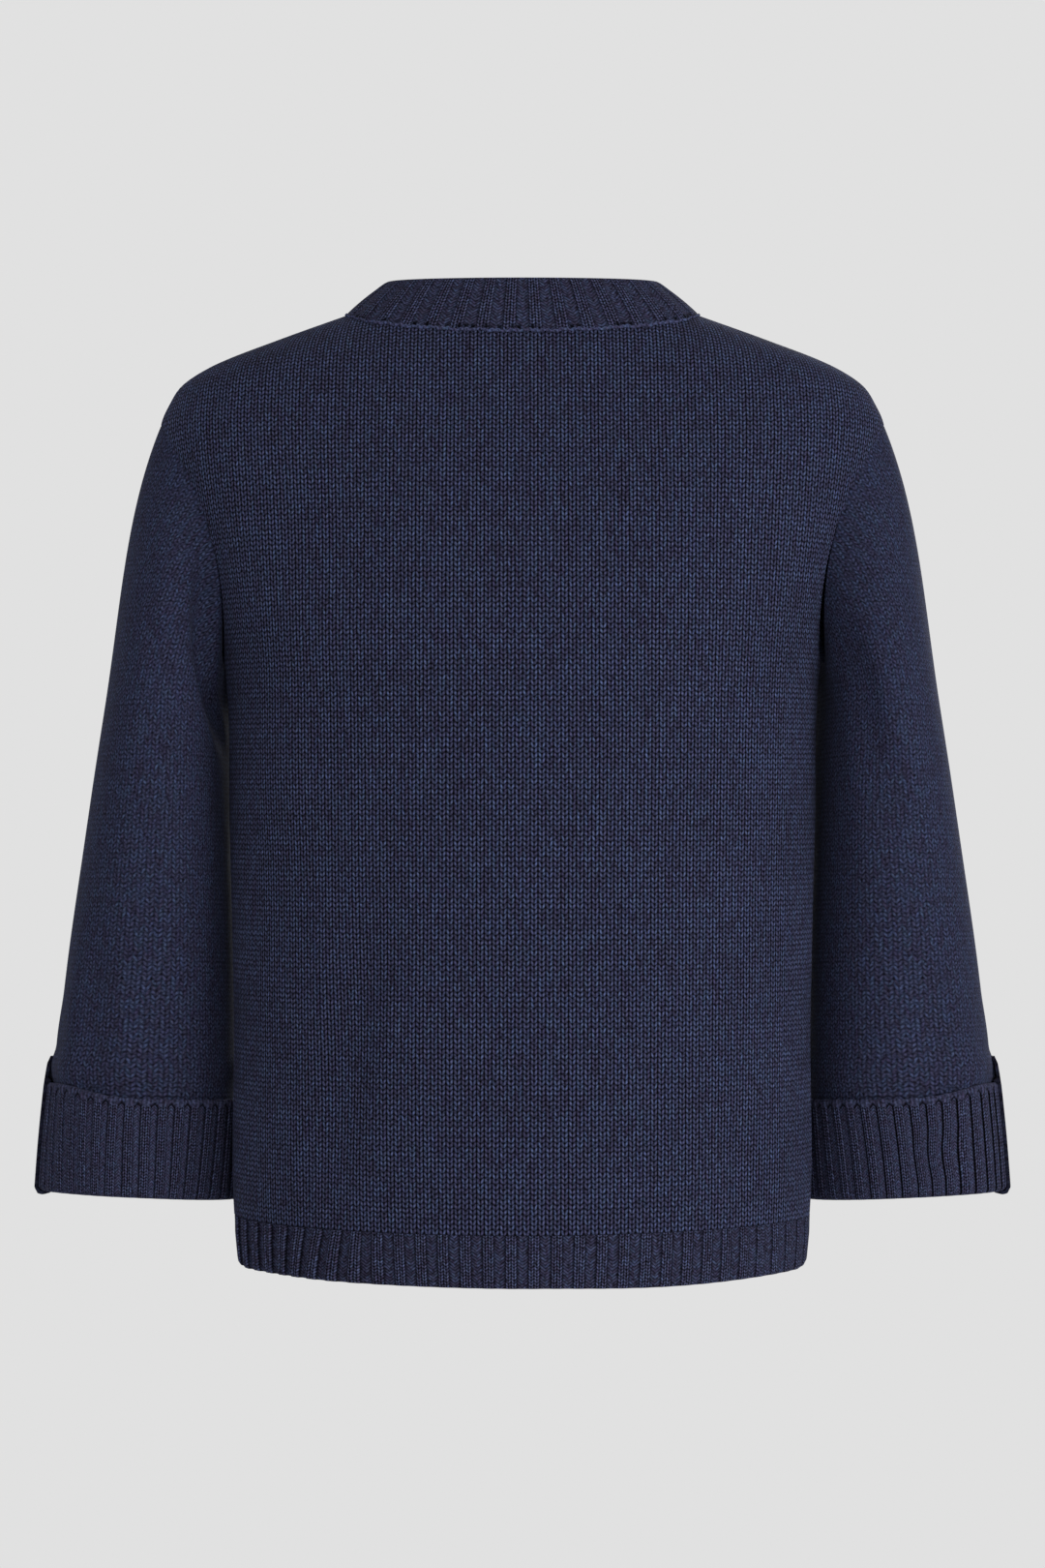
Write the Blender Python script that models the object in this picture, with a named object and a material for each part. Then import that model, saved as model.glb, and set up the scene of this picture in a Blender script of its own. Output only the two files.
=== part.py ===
"""A short knitted jacket with wide turned-up sleeves, filled out as worn, with nobody in it.

The front faces -Y and the wearer's left is +X. The origin is the middle of the neck opening, level with
the two points where the neckband meets the shoulders. Heights below run down from there.

Each piece of cloth is a wall between two grids of points. The outer grid lies on the garment's shape, and
the inner one lies the cloth's thickness inside it. The ribs are raised in the outer grid only.
"""

import math

import bmesh
import bpy
import numpy as np

MM = 0.001

# Cloth
WALL = 2.2 * MM              # thickness of the knitted cloth
SEAM = 0.3 * MM              # gap between two pieces that are sewn together
RIB_RAISE = 1.2 * MM         # how far a rib stands above its gutter
RIB_PITCH = 12.6 * MM        # one rib and one gutter, hem and front bands
RIB_STEPS = (0.0, 0.28, 0.72)           # places across one rib: gutter, then both edges of the rib
RIB_LIFTS = (0.0, 1.0, 1.0)             # how much of RIB_RAISE each place has

# Heights, from the neck points down
UNDERARM = -205.0 * MM
ARMHOLE_TOP = -65.0 * MM
HEM_TOP = -529.0 * MM
HEM_BOTTOM = -559.0 * MM
SLEEVE_END = -503.0 * MM
CUFF_TOP = -459.0 * MM
CUFF_FOLD = -521.5 * MM

# Neck
NECK_HALF_WIDTH = 103.4 * MM
BACK_NECK_DROP = 16.0 * MM
FRONT_NECK_DROP = 75.0 * MM
NECKBAND_TOP_HALF_WIDTH = 80.0 * MM
NECKBAND_BACK_LEAN = 0.855              # depth of the band's top edge over its depth at the seam
NECKBAND_FRONT_LEAN = 0.8875
NECKBAND_RISE = 31.0 * MM               # height of the band in the middle of the back and front
NECKBAND_SIDE_RISE = 17.5 * MM          # and at the neck points, where it leans in most
NECKBAND_BOW = 0.8 * MM                 # it is slightly rounded outwards between its edges
NECKBAND_RIBS = 36

# Armhole: seen from the side it is an ellipse
ARMHOLE_HALF_DEPTH = 44.0 * MM

# Front bands, the wearer's right one over the left one
BAND_HALF_WIDTH = 16.0 * MM
LAP = RIB_RAISE + SEAM + WALL           # how far the upper band stands above the under one
LAP_REACH = 60.0 * MM                   # the right front rises to it over this width

# Cuffs and tabs
CUFF_RIBS = 39
CUFF_SPACE = 0.8 * MM                   # between the sleeve's end and the turned-up part
CUFF_ROUND_OUT = 3.0 * MM               # height over which the fold turns, outer face
CUFF_ROUND_IN = 4.0 * MM                # and inner face
CUFF_FOLD_THICK = 2.8 * MM              # height of the cloth at the very bottom of the fold
CUFF_TILT_IN = 0.025                    # the cuff is lower towards the body
CUFF_TILT_FRONT = 0.07                  # and towards the front
TAB_WIDTH = 22.0 * MM
TAB_THICKNESS = 2.0 * MM
TAB_TOP = -439.0 * MM
TAB_INNER_TOP = -508.0 * MM
TAB_CLIMB = 7.0 * MM                    # it rises over the cuff's top edge across this height
TAB_COLUMNS = 6

# Buttons
BUTTON_COUNT = 6
BUTTON_RADIUS = 9.0 * MM
BUTTON_THICKNESS = 3.0 * MM
BUTTON_EDGE = 0.8 * MM                  # its edge is rounded by this much
BUTTON_SIDES = 16
BUTTON_FIRST = -60.0 * MM
BUTTON_LAST = -543.0 * MM

# Counts of grid steps
NECK_STEPS = 5                          # from the middle of the neck to the neck point
SHOULDER_STEPS = 7                      # from the neck point to the top of the armhole
SIDE_STEPS = 7                          # up the side seam
ARMHOLE_STEPS = 10                      # up half of the armhole
CAP_STEPS = 5
SLEEVE_STEPS = 6
BAND_STEPS = 12
FINE_STEPS = 160                        # for measuring along a curve
NECK_FAN = 52.0 * MM                    # columns pass outside the neck point by up to a quarter of it

# The body's level sections, in mm: a rounded outline, flatter where roundness is high.
# Above ARMHOLE_TOP the half width is the shoulder line itself.
BODY = (
    ("height", "half_width", "back_depth", "front_depth", "roundness"),
    (0.0, 103.4, 52.0, 42.0, 2.00),
    (-14.5, 144.0, 61.0, 51.0, 2.00),
    (-31.0, 185.2, 71.0, 60.5, 2.00),
    (-40.0, 199.4, 75.5, 64.5, 2.00),
    (-53.0, 208.6, 81.5, 70.0, 2.02),
    (-65.0, 213.4, 86.5, 75.5, 2.05),
    (-80.0, 211.5, 92.5, 83.5, 2.10),
    (-110.0, 201.0, 101.0, 98.0, 2.20),
    (-160.0, 184.5, 110.0, 110.5, 2.25),
    (-205.0, 176.0, 113.0, 116.0, 2.15),
    (-300.0, 173.0, 114.5, 117.0, 2.00),
    (-420.0, 170.5, 113.0, 114.0, 1.95),
    (-529.0, 170.4, 111.0, 111.0, 1.84),
    (-559.0, 168.0, 110.0, 110.0, 1.76),
)

# The sleeve's level sections below the underarm, in mm, for the wearer's left
SLEEVE = (
    ("height", "outer_x", "inner_x", "middle_y", "half_depth"),
    (-230.0, 246.0, 177.2, -8.0, 69.5),
    (-260.0, 250.9, 176.0, -11.0, 68.0),
    (-320.0, 260.3, 174.0, -18.0, 65.0),
    (-380.0, 270.0, 172.2, -27.0, 62.0),
    (-440.0, 278.3, 171.6, -36.0, 59.5),
    (-490.0, 284.3, 172.2, -41.0, 57.5),
    (-530.0, 287.6, 172.8, -43.0, 57.0),
)
SLEEVE_ROUNDNESS = 2.2
SLEEVE_TOP_RING = -230.0 * MM
CAP_LEAVE_OUTER = 0.19                  # how far the cloth leans out where it leaves the armhole's top
CAP_LEAVE_INNER = 0.05                  # and its underarm
CAP_LEAVE_SIDES = 0.32                  # and half way, at the back and front
CAP_LEAVE_DEPTH = 0.25                  # there it also leans away from the middle


def clear_scene():
    for old in list(bpy.data.objects):
        bpy.data.objects.remove(old, do_unlink=True)


def read_table(table, column, height):
    """One column of a table at a height, smooth between its rows."""
    rows = np.array(table[:0:-1]) * MM
    heights, values = rows[:, 0], rows[:, table[0].index(column)]
    slopes = np.gradient(values, heights)
    low = int(np.clip(np.searchsorted(heights, height) - 1, 0, len(heights) - 2))
    step = heights[low + 1] - heights[low]
    t = min(max((height - heights[low]) / step, 0.0), 1.0)
    return ((1 + 2 * t) * (1 - t) ** 2 * values[low]
            + t * (1 - t) ** 2 * step * slopes[low]
            + t * t * (3 - 2 * t) * values[low + 1]
            + t * t * (t - 1) * step * slopes[low + 1])


def body_section(height, side):
    """Half width, depth and roundness of the body's section; side is +1 behind and -1 in front."""
    depth = "back_depth" if side > 0 else "front_depth"
    return (read_table(BODY, "half_width", height), read_table(BODY, depth, height),
            read_table(BODY, "roundness", height) / MM)


def body_y(x, height, side):
    half_width, depth, power = body_section(height, side)
    left = max(1.0 - abs(x / half_width) ** power, 0.0)
    return side * depth * left ** (1 / power)


def body_normal(point, side):
    """The direction out of the body's surface at a point on it."""
    x, y, height = point
    step = MM / 2

    def level(at):
        half_width, depth, power = body_section(at, side)
        return abs(x / half_width) ** power + abs(y / depth) ** power

    half_width, depth, power = body_section(height, side)
    slope = np.array((
        math.copysign(power * abs(x) ** (power - 1) / half_width ** power, x),
        math.copysign(power * abs(y) ** (power - 1) / depth ** power, side),
        (level(height + step) - level(height - step)) / (2 * step)))
    return slope / np.linalg.norm(slope)


def section_place(height, side, share, start_x):
    """The point of a level section at a share of its length, from x = start_x to the side."""
    half_width, depth, power = body_section(height, side)
    start = math.asin(min(start_x / half_width, 1.0) ** (power / 2))
    angles = np.linspace(start, math.pi / 2, FINE_STEPS)
    xs = half_width * np.sin(angles) ** (2 / power)
    ys = depth * np.abs(np.cos(angles)) ** (2 / power)
    lengths = np.concatenate(((0.0,), np.cumsum(np.hypot(np.diff(xs), np.diff(ys)))))
    at = share * lengths[-1]
    return np.array((np.interp(at, lengths, xs), side * np.interp(at, lengths, ys), height))


def armhole_place(climb, side):
    """The armhole seam: climb is 0 at the underarm and 1 at its top."""
    turn = math.pi * climb
    middle = (ARMHOLE_TOP + UNDERARM) / 2
    height = middle - (ARMHOLE_TOP - UNDERARM) / 2 * math.cos(turn)
    y = ARMHOLE_HALF_DEPTH * math.sin(turn)
    half_width, depth, power = body_section(height, side)
    x = half_width * (1 - (y / depth) ** power) ** (1 / power)
    return np.array((x, side * y, height))


def shoulder_place(share):
    """The shoulder line: share is 0 at the neck point and 1 at the top of the armhole."""
    heights = np.linspace(0.0, ARMHOLE_TOP, FINE_STEPS)
    xs = np.array([read_table(BODY, "half_width", h) for h in heights])
    lengths = np.concatenate(((0.0,), np.cumsum(np.hypot(np.diff(xs), np.diff(heights)))))
    height = np.interp(share * lengths[-1], lengths, heights)
    return np.array((read_table(BODY, "half_width", height), 0.0, height))


def neck_place(turn, side):
    """The neckline: turn is 0 at the middle and a quarter turn at the neck point."""
    drop = BACK_NECK_DROP if side > 0 else FRONT_NECK_DROP
    x = NECK_HALF_WIDTH * math.sin(turn)
    height = -drop * math.cos(turn)
    return np.array((x, body_y(x, height, side), height))


def neck_turns(side, start_x):
    """Turns that share the neckline's length evenly, from x = start_x to the neck point."""
    fine = np.linspace(math.asin(start_x / NECK_HALF_WIDTH), math.pi / 2, FINE_STEPS)
    points = np.array([neck_place(turn, side) for turn in fine])
    lengths = np.concatenate(((0.0,), np.cumsum(np.linalg.norm(np.diff(points, axis=0), axis=1))))
    return np.interp(np.linspace(0, lengths[-1], NECK_STEPS + 1), lengths, fine)


def panel_grid(side, start_x):
    """Half of the back, or one front: rows rise from the hem seam, columns run out to the side."""
    columns = NECK_STEPS + SHOULDER_STEPS
    tops = [neck_place(turn, side) for turn in neck_turns(side, start_x)[:-1]]
    for k in range(SHOULDER_STEPS + 1):
        tops.append(shoulder_place(k / SHOULDER_STEPS))

    grid = []
    for j in range(SIDE_STEPS + 1):
        height = HEM_TOP + (UNDERARM - HEM_TOP) * j / SIDE_STEPS
        grid.append([section_place(height, side, k / columns, start_x) for k in range(columns + 1)])
    underarm_row = grid[-1]
    for j in range(1, ARMHOLE_STEPS + 1):
        climb = j / ARMHOLE_STEPS
        rise = (1 - math.cos(math.pi * climb)) / 2
        edge = armhole_place(climb, side)
        straight = underarm_row[-1][0] + (tops[-1][0] - underarm_row[-1][0]) * rise
        row = []
        for k in range(columns):
            low, top = underarm_row[k], tops[k]
            height = low[2] + (top[2] - low[2]) * rise
            x = low[0] + (top[0] - low[0]) * rise + (edge[0] - straight) * (k / columns) ** 2
            x += NECK_FAN * math.sin(math.pi * k / columns) * rise ** 2 * math.sqrt(1 - rise)
            row.append(np.array((x, body_y(x, height, side), height)))
        grid.append(row + [edge])
    grid[-1][:columns + 1] = [np.array(top) for top in tops]
    return np.array(grid)


def along_rows(grid):
    """The direction of the rows at each point of a grid."""
    way = np.gradient(grid, axis=1)
    return way / np.linalg.norm(way, axis=2, keepdims=True)


def along_columns(grid):
    way = np.gradient(grid, axis=0)
    return way / np.linalg.norm(way, axis=2, keepdims=True)


def part_seams(grid, top=0.0, bottom=0.0, right=0.0, left=0.0):
    """Moves a grid's edges back from their seams, along the cloth."""
    across, up = along_rows(grid), along_columns(grid)
    grid = grid.copy()
    grid[-1] -= up[-1] * top
    grid[0] += up[0] * bottom
    grid[:, -1] -= across[:, -1] * right
    grid[:, 0] += across[:, 0] * left
    return grid


def mirrored(grid):
    """The same grid on the other side of the middle, with its columns in the same order in space."""
    return grid[:, ::-1] * np.array((-1.0, 1.0, 1.0))


def lap_lift(grid):
    """How far forward the wearer's right front stands near its band, for each point of a grid."""
    t = np.clip((-grid[..., 0] - BAND_HALF_WIDTH) / LAP_REACH, 0.0, 1.0)
    in_front = (grid[..., 0] < 0) & (grid[..., 1] < 0)
    lift = np.where(in_front, LAP * (1 - t * t * (3 - 2 * t)), 0.0)
    return lift[..., None] * np.array((0.0, -1.0, 0.0))


def material(name, colour, roughness):
    made = bpy.data.materials.new(name)
    made.use_nodes = True
    shader = made.node_tree.nodes["Principled BSDF"]
    shader.inputs["Base Color"].default_value = (*colour, 1.0)
    shader.inputs["Roughness"].default_value = roughness
    shader.inputs["Metallic"].default_value = 0.0
    made.diffuse_color = (*colour, 1.0)
    return made


def add_object(name, verts, faces, look):
    mesh = bpy.data.meshes.new(name)
    mesh.from_pydata([tuple(v) for v in verts], [], faces)
    work = bmesh.new()
    work.from_mesh(mesh)
    bmesh.ops.recalc_face_normals(work, faces=work.faces)
    if work.calc_volume(signed=True) < 0:
        bmesh.ops.reverse_faces(work, faces=work.faces)
    work.to_mesh(mesh)
    work.free()
    mesh.shade_smooth()
    mesh.set_sharp_from_angle(angle=math.radians(40))
    made = bpy.data.objects.new(name, mesh)
    mesh.materials.append(look)
    bpy.context.scene.collection.objects.link(made)
    return made


def wall(name, outer, inner, look, around=False):
    """A closed wall between two grids of equal size; 'around' joins the last column to the first."""
    rows, columns = outer.shape[:2]
    verts = np.concatenate((outer.reshape(-1, 3), inner.reshape(-1, 3)))
    shift = rows * columns

    def at(j, k):
        return j * columns + k % columns

    steps = columns if around else columns - 1
    faces = []
    for j in range(rows - 1):
        for k in range(steps):
            face = (at(j, k), at(j, k + 1), at(j + 1, k + 1), at(j + 1, k))
            faces.append(face)
            faces.append(tuple(v + shift for v in reversed(face)))
    for k in range(steps):
        for j, low, high in ((0, k + 1, k), (rows - 1, k, k + 1)):
            faces.append((at(j, low), at(j, high), at(j, high) + shift, at(j, low) + shift))
    if not around:
        for j in range(rows - 1):
            for k, low, high in ((0, j, j + 1), (columns - 1, j + 1, j)):
                faces.append((at(low, k), at(high, k), at(high, k) + shift, at(low, k) + shift))
    return add_object(name, verts, faces, look)


def body_normals(grid, side):
    return np.array([[body_normal(point, side) for point in row] for row in grid])


def spread_ribs(line, places, normals):
    """Points and normals at fractional places along a coarse line."""
    base = np.arange(len(line))
    points = np.stack([np.interp(places, base, line[:, i]) for i in range(3)], axis=1)
    ways = np.stack([np.interp(places, base, normals[:, i]) for i in range(3)], axis=1)
    return points, ways / np.linalg.norm(ways, axis=1, keepdims=True)


def rib_places(count, last, around=False):
    """Places along 0..last for a row of ribs, and how far each place is raised."""
    places, lifts = [], []
    for rib in range(count):
        for step, lift in zip(RIB_STEPS, RIB_LIFTS):
            places.append(last * (rib + step) / count)
            lifts.append(lift * RIB_RAISE)
    if not around:
        places.append(last)
        lifts.append(0.0)
    return np.array(places), np.array(lifts)


def make_back(look):
    half = part_seams(panel_grid(1, 0.0), top=SEAM / 2, bottom=SEAM / 2, right=SEAM / 2)
    outer = np.concatenate((mirrored(half)[:, :-1], half), axis=1)
    wall("back", outer, outer - WALL * body_normals(outer, 1), look)


def make_front(name, hand, look):
    """One front; hand is +1 for the wearer's left."""
    grid = part_seams(panel_grid(-1, BAND_HALF_WIDTH + SEAM), top=SEAM / 2, bottom=SEAM / 2,
                      right=SEAM / 2)
    outer = grid if hand > 0 else mirrored(grid)
    inner = outer - WALL * body_normals(outer, -1)
    lift = lap_lift(outer)
    outer, inner = outer + lift, inner + lift
    edge = 0 if hand > 0 else -1
    outer[:, edge, 0] = inner[:, edge, 0] = hand * (BAND_HALF_WIDTH + SEAM)
    wall(name, outer, inner, look)


def hem_rows(side, start_x, count):
    """The hem band from start_x to the side seam: outer and inner grids."""
    columns = NECK_STEPS + SHOULDER_STEPS
    places, lifts = rib_places(count, columns)
    outer, inner = [], []
    for height in (HEM_BOTTOM, HEM_TOP - SEAM):
        line = np.array([section_place(height, side, k / columns, start_x)
                         for k in range(columns + 1)])
        line[-1, 1] = side * SEAM / 2
        normals = np.array([body_normal(point, side) for point in line])
        normals[:, 2] = 0
        points, ways = spread_ribs(line, places, normals)
        outer.append(points + ways * lifts[:, None])
        inner.append(points - ways * WALL)
    return np.array(outer), np.array(inner)


def make_hem_back(look):
    half_length = section_length(HEM_BOTTOM, 1, 0.0)
    count = round(half_length / RIB_PITCH)
    outer, inner = hem_rows(1, 0.0, count)
    outer = np.concatenate((mirrored(outer)[:, :-1], outer), axis=1)
    inner = np.concatenate((mirrored(inner)[:, :-1], inner), axis=1)
    wall("hem_back", outer, inner, look)


def section_length(height, side, start_x):
    shares = np.linspace(0, 1, FINE_STEPS)
    places = np.array([section_place(height, side, share, start_x) for share in shares])
    return float(np.linalg.norm(np.diff(places, axis=0), axis=1).sum())


def make_hem_front(name, hand, look):
    start_x = BAND_HALF_WIDTH + SEAM
    count = round(section_length(HEM_BOTTOM, -1, start_x) / RIB_PITCH)
    outer, inner = hem_rows(-1, start_x, count)
    if hand < 0:
        outer, inner = mirrored(outer), mirrored(inner)
    lift = lap_lift(inner)
    wall(name, outer + lift, inner + lift, look)


def neck_rings():
    """The neckline and the band's top edge, from the left front band round the back to the right."""
    start_x = BAND_HALF_WIDTH + SEAM
    seam, top = [], []
    for hand in (1.0, -1.0):
        quarter = [(turn, -1) for turn in neck_turns(-1, start_x)[:-1]]
        quarter += [(turn, 1) for turn in neck_turns(1, 0.0)[::-1]]
        if hand < 0:
            quarter = quarter[-2::-1]
        for turn, side in quarter:
            low = neck_place(turn, side)
            first_x = start_x if side < 0 else 0.0
            narrower = (NECKBAND_TOP_HALF_WIDTH - first_x) / (NECK_HALF_WIDTH - first_x)
            lean = NECKBAND_BACK_LEAN if side > 0 else NECKBAND_FRONT_LEAN
            rise = NECKBAND_SIDE_RISE + (NECKBAND_RISE - NECKBAND_SIDE_RISE) * math.cos(turn) ** 2
            high = np.array((first_x + (low[0] - first_x) * narrower, low[1] * lean, low[2] + rise))
            flip = np.array((hand, 1.0, 1.0))
            seam.append(low * flip)
            top.append(high * flip)
    return np.array(seam), np.array(top)


def neckband_grid():
    """Base grid of the neckband: three rows, slightly rounded outwards between its edges."""
    seam, top = neck_rings()
    middle = (seam + top) / 2
    rows = np.array((seam, middle, top))
    out = np.cross(np.gradient(rows, axis=1), np.gradient(rows, axis=0))
    out /= np.linalg.norm(out, axis=2, keepdims=True)
    rows[1] += out[1] * NECKBAND_BOW
    up = along_columns(rows)
    rows[0] += up[0] * SEAM
    return rows, out


def make_neckband(look):
    rows, out = neckband_grid()
    places, lifts = rib_places(NECKBAND_RIBS, rows.shape[1] - 1)
    outer, inner = [], []
    for line, normals in zip(rows, out):
        points, ways = spread_ribs(line, places, normals)
        lift = lap_lift(points)
        outer.append(points + lift + ways * lifts[:, None])
        inner.append(points + lift - ways * WALL)
    outer, inner = np.array(outer), np.array(inner)
    for edge, hand in ((0, 1), (-1, -1)):
        outer[:, edge, 0] = inner[:, edge, 0] = hand * (BAND_HALF_WIDTH + SEAM)
    wall("neckband", outer, inner, look)


def band_line():
    """The middle of the front from the hem to the top of the neckband, and its outward direction."""
    heights = np.linspace(HEM_BOTTOM, -FRONT_NECK_DROP, BAND_STEPS)
    points = [np.array((0.0, body_y(0.0, h, -1), h)) for h in heights]
    top = points[-1] * np.array((1.0, NECKBAND_FRONT_LEAN, 1.0))
    top[2] += NECKBAND_RISE
    points.append((points[-1] + top) / 2 - np.array((0.0, NECKBAND_BOW, 0.0)))
    points.append(top)
    points = np.array(points)
    up = np.gradient(points, axis=0)
    out = np.stack((np.zeros(len(up)), -up[:, 2], up[:, 1]), axis=1)
    return points, out / np.linalg.norm(out, axis=1, keepdims=True)


def make_band(name, lift, look):
    line, out = band_line()
    count = max(round(2 * BAND_HALF_WIDTH / RIB_PITCH), 2)
    places, raised = rib_places(count, 1.0)
    across = -BAND_HALF_WIDTH + 2 * BAND_HALF_WIDTH * places
    outer, inner = [], []
    for point, way in zip(line, out):
        base = []
        for x in across:
            edge = min(point[2], -FRONT_NECK_DROP)
            bow = body_y(x, edge, -1) - body_y(0.0, edge, -1)
            base.append(point + np.array((x, bow, 0.0)))
        base = np.array(base)
        outer.append(base + way * (raised + lift)[:, None])
        inner.append(base + way * (lift - WALL))
    wall(name, np.array(outer), np.array(inner), look)


def sleeve_ring(height, turn):
    """A point on the sleeve's level section and its level outward direction, wearer's left.
    turn is 0 outermost, a quarter at the back and a half nearest the body."""
    outer_x = read_table(SLEEVE, "outer_x", height)
    inner_x = read_table(SLEEVE, "inner_x", height)
    middle_y = read_table(SLEEVE, "middle_y", height)
    half_depth = read_table(SLEEVE, "half_depth", height)
    half_width = (outer_x - inner_x) / 2
    power = 2 / SLEEVE_ROUNDNESS
    c, s = math.cos(turn), math.sin(turn)
    dx = half_width * math.copysign(abs(c) ** power, c)
    dy = half_depth * math.copysign(abs(s) ** power, s)
    out = np.array((math.copysign(abs(dx / half_width) ** (SLEEVE_ROUNDNESS - 1), c) / half_width,
                    math.copysign(abs(dy / half_depth) ** (SLEEVE_ROUNDNESS - 1), s) / half_depth,
                    0.0))
    sag = min(max((SLEEVE_TOP_RING - height) / (SLEEVE_TOP_RING - CUFF_TOP), 0.0), 1.0)
    tilt = sag * (CUFF_TILT_IN * dx + CUFF_TILT_FRONT * dy)
    point = np.array(((outer_x + inner_x) / 2 + dx, middle_y + dy, height + tilt))
    return point, out / np.linalg.norm(out)


def even_turns(height, count):
    """Turns that share a ring's length evenly, starting outermost."""
    fine = np.linspace(0, 2 * math.pi, 4 * FINE_STEPS + 1)
    points = np.array([sleeve_ring(height, t)[0] for t in fine])
    lengths = np.concatenate(((0.0,), np.cumsum(np.linalg.norm(np.diff(points, axis=0), axis=1))))
    return np.interp(np.arange(count) / count * lengths[-1], lengths, fine)


def sleeve_grid():
    """The left sleeve from the armhole seam to its end; columns go round by way of the back."""
    count = 2 * ARMHOLE_STEPS
    starts = []
    for k in range(count):
        climb = 1 - k / ARMHOLE_STEPS if k <= ARMHOLE_STEPS else k / ARMHOLE_STEPS - 1
        starts.append(armhole_place(climb, 1 if k <= ARMHOLE_STEPS else -1))
    turns = even_turns(SLEEVE_TOP_RING, count)
    rows = [[] for _ in range(CAP_STEPS)]
    for k in range(count):
        start = starts[k]
        end, _ = sleeve_ring(SLEEVE_TOP_RING, turns[k])
        lower, _ = sleeve_ring(SLEEVE_TOP_RING - MM, turns[k])
        reach = np.linalg.norm(end - start)
        c, s = math.cos(turns[k]), math.sin(turns[k])
        lean = CAP_LEAVE_OUTER * (1 + c) + CAP_LEAVE_INNER * (1 - c) + CAP_LEAVE_SIDES * s * s
        leave = np.array((lean, CAP_LEAVE_DEPTH * s, 0.0))
        leave[2] = -math.sqrt(1 - leave[0] ** 2 - leave[1] ** 2)
        arrive = (lower - end) / np.linalg.norm(lower - end)
        for j in range(CAP_STEPS):
            t = j / CAP_STEPS
            rows[j].append((1 + 2 * t) * (1 - t) ** 2 * start + t * (1 - t) ** 2 * reach * leave
                           + t * t * (3 - 2 * t) * end + t * t * (t - 1) * reach * arrive)
    for j in range(SLEEVE_STEPS + 1):
        height = SLEEVE_TOP_RING + (SLEEVE_END - SLEEVE_TOP_RING) * j / SLEEVE_STEPS
        rows.append([sleeve_ring(height, t)[0] for t in turns])
    return np.array(rows)


def ring_normals(grid):
    """Outward directions of a grid that is closed around, with columns going round by the back."""
    around = np.roll(grid, -1, axis=1) - np.roll(grid, 1, axis=1)
    out = np.cross(np.gradient(grid, axis=0), around)
    return out / np.linalg.norm(out, axis=2, keepdims=True)


def hand_flip(grid, hand):
    return grid if hand > 0 else grid * np.array((-1.0, 1.0, 1.0))


def make_sleeve(name, hand, look):
    outer = sleeve_grid()
    outer[0] += along_columns(outer)[0] * SEAM / 2
    out = ring_normals(outer)
    inner = outer - WALL * out
    wall(name, hand_flip(outer, hand), hand_flip(inner, hand), look, around=True)


def cuff_profile():
    """The cuff's section from its top edge down the outside, round the fold and up to the sleeve's
    end. Each row: heights of both faces, offsets of both faces, share of the rib."""
    turned = CUFF_SPACE + WALL
    return (
        (CUFF_TOP, CUFF_TOP, turned, CUFF_SPACE, 1.0),
        (CUFF_FOLD + CUFF_ROUND_OUT, CUFF_FOLD + CUFF_ROUND_IN, turned, CUFF_SPACE, 1.0),
        (CUFF_FOLD, CUFF_FOLD + CUFF_FOLD_THICK, CUFF_SPACE / 2, CUFF_SPACE / 2, 0.5),
        (CUFF_FOLD + CUFF_ROUND_OUT, CUFF_FOLD + CUFF_ROUND_IN, -WALL, 0.0, 0.0),
        (SLEEVE_END - SEAM, SLEEVE_END - SEAM, -WALL, 0.0, 0.0),
    )


def make_cuff(name, hand, look):
    count = CUFF_RIBS * len(RIB_STEPS)
    _, lifts = rib_places(CUFF_RIBS, 1.0, around=True)
    shares = np.concatenate([(rib + np.array(RIB_STEPS)) / CUFF_RIBS for rib in range(CUFF_RIBS)])
    even = even_turns(CUFF_TOP, FINE_STEPS)
    turns = np.interp(shares * FINE_STEPS, np.arange(FINE_STEPS + 1), np.append(even, 2 * math.pi))
    outer, inner = [], []
    for out_height, in_height, out_face, in_face, rib in cuff_profile():
        outer_row, inner_row = [], []
        for k in range(count):
            point, way = sleeve_ring(out_height, turns[k])
            outer_row.append(point + way * (out_face + rib * lifts[k]))
            point, way = sleeve_ring(in_height, turns[k])
            inner_row.append(point + way * in_face)
        outer.append(outer_row)
        inner.append(inner_row)
    wall(name, hand_flip(np.array(outer), hand), hand_flip(np.array(inner), hand), look,
         around=True)


def tab_path():
    """The tab's lower face: height and offset from the sleeve, from its top end to the inside."""
    over = CUFF_SPACE + WALL + RIB_RAISE + SEAM
    under = WALL + SEAM
    bottom = CUFF_FOLD - SEAM
    return (
        (TAB_TOP, SEAM),
        (CUFF_TOP + TAB_CLIMB, SEAM * 2),
        (CUFF_TOP + SEAM * 2, over),
        (CUFF_FOLD + 2 * MM, over),
        (bottom, over * 0.68),
        (bottom - SEAM, over * 0.3),
        (bottom, -under * 0.6),
        (CUFF_FOLD + CUFF_ROUND_IN, -under),
        (TAB_INNER_TOP, -under),
    )


def make_tab(name, hand, look):
    path = np.array(tab_path())
    ways = np.gradient(path, axis=0)
    ways /= np.linalg.norm(ways, axis=1, keepdims=True)
    upper = path + TAB_THICKNESS * np.stack((-ways[:, 1], -ways[:, 0]), axis=1) * np.array((-1, 1))
    turns = np.linspace(-1, 1, TAB_COLUMNS)
    outer, inner = [], []
    for low, high in zip(path, upper):
        outer_row, inner_row = [], []
        for t in turns:
            half_depth = read_table(SLEEVE, "half_depth", low[0])
            turn = t * TAB_WIDTH / 2 / half_depth
            point, way = sleeve_ring(low[0], turn)
            inner_row.append(point + way * low[1])
            point, way = sleeve_ring(high[0], turn)
            outer_row.append(point + way * high[1])
        outer.append(outer_row)
        inner.append(inner_row)
    wall(name, hand_flip(np.array(outer), hand), hand_flip(np.array(inner), hand), look)


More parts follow.
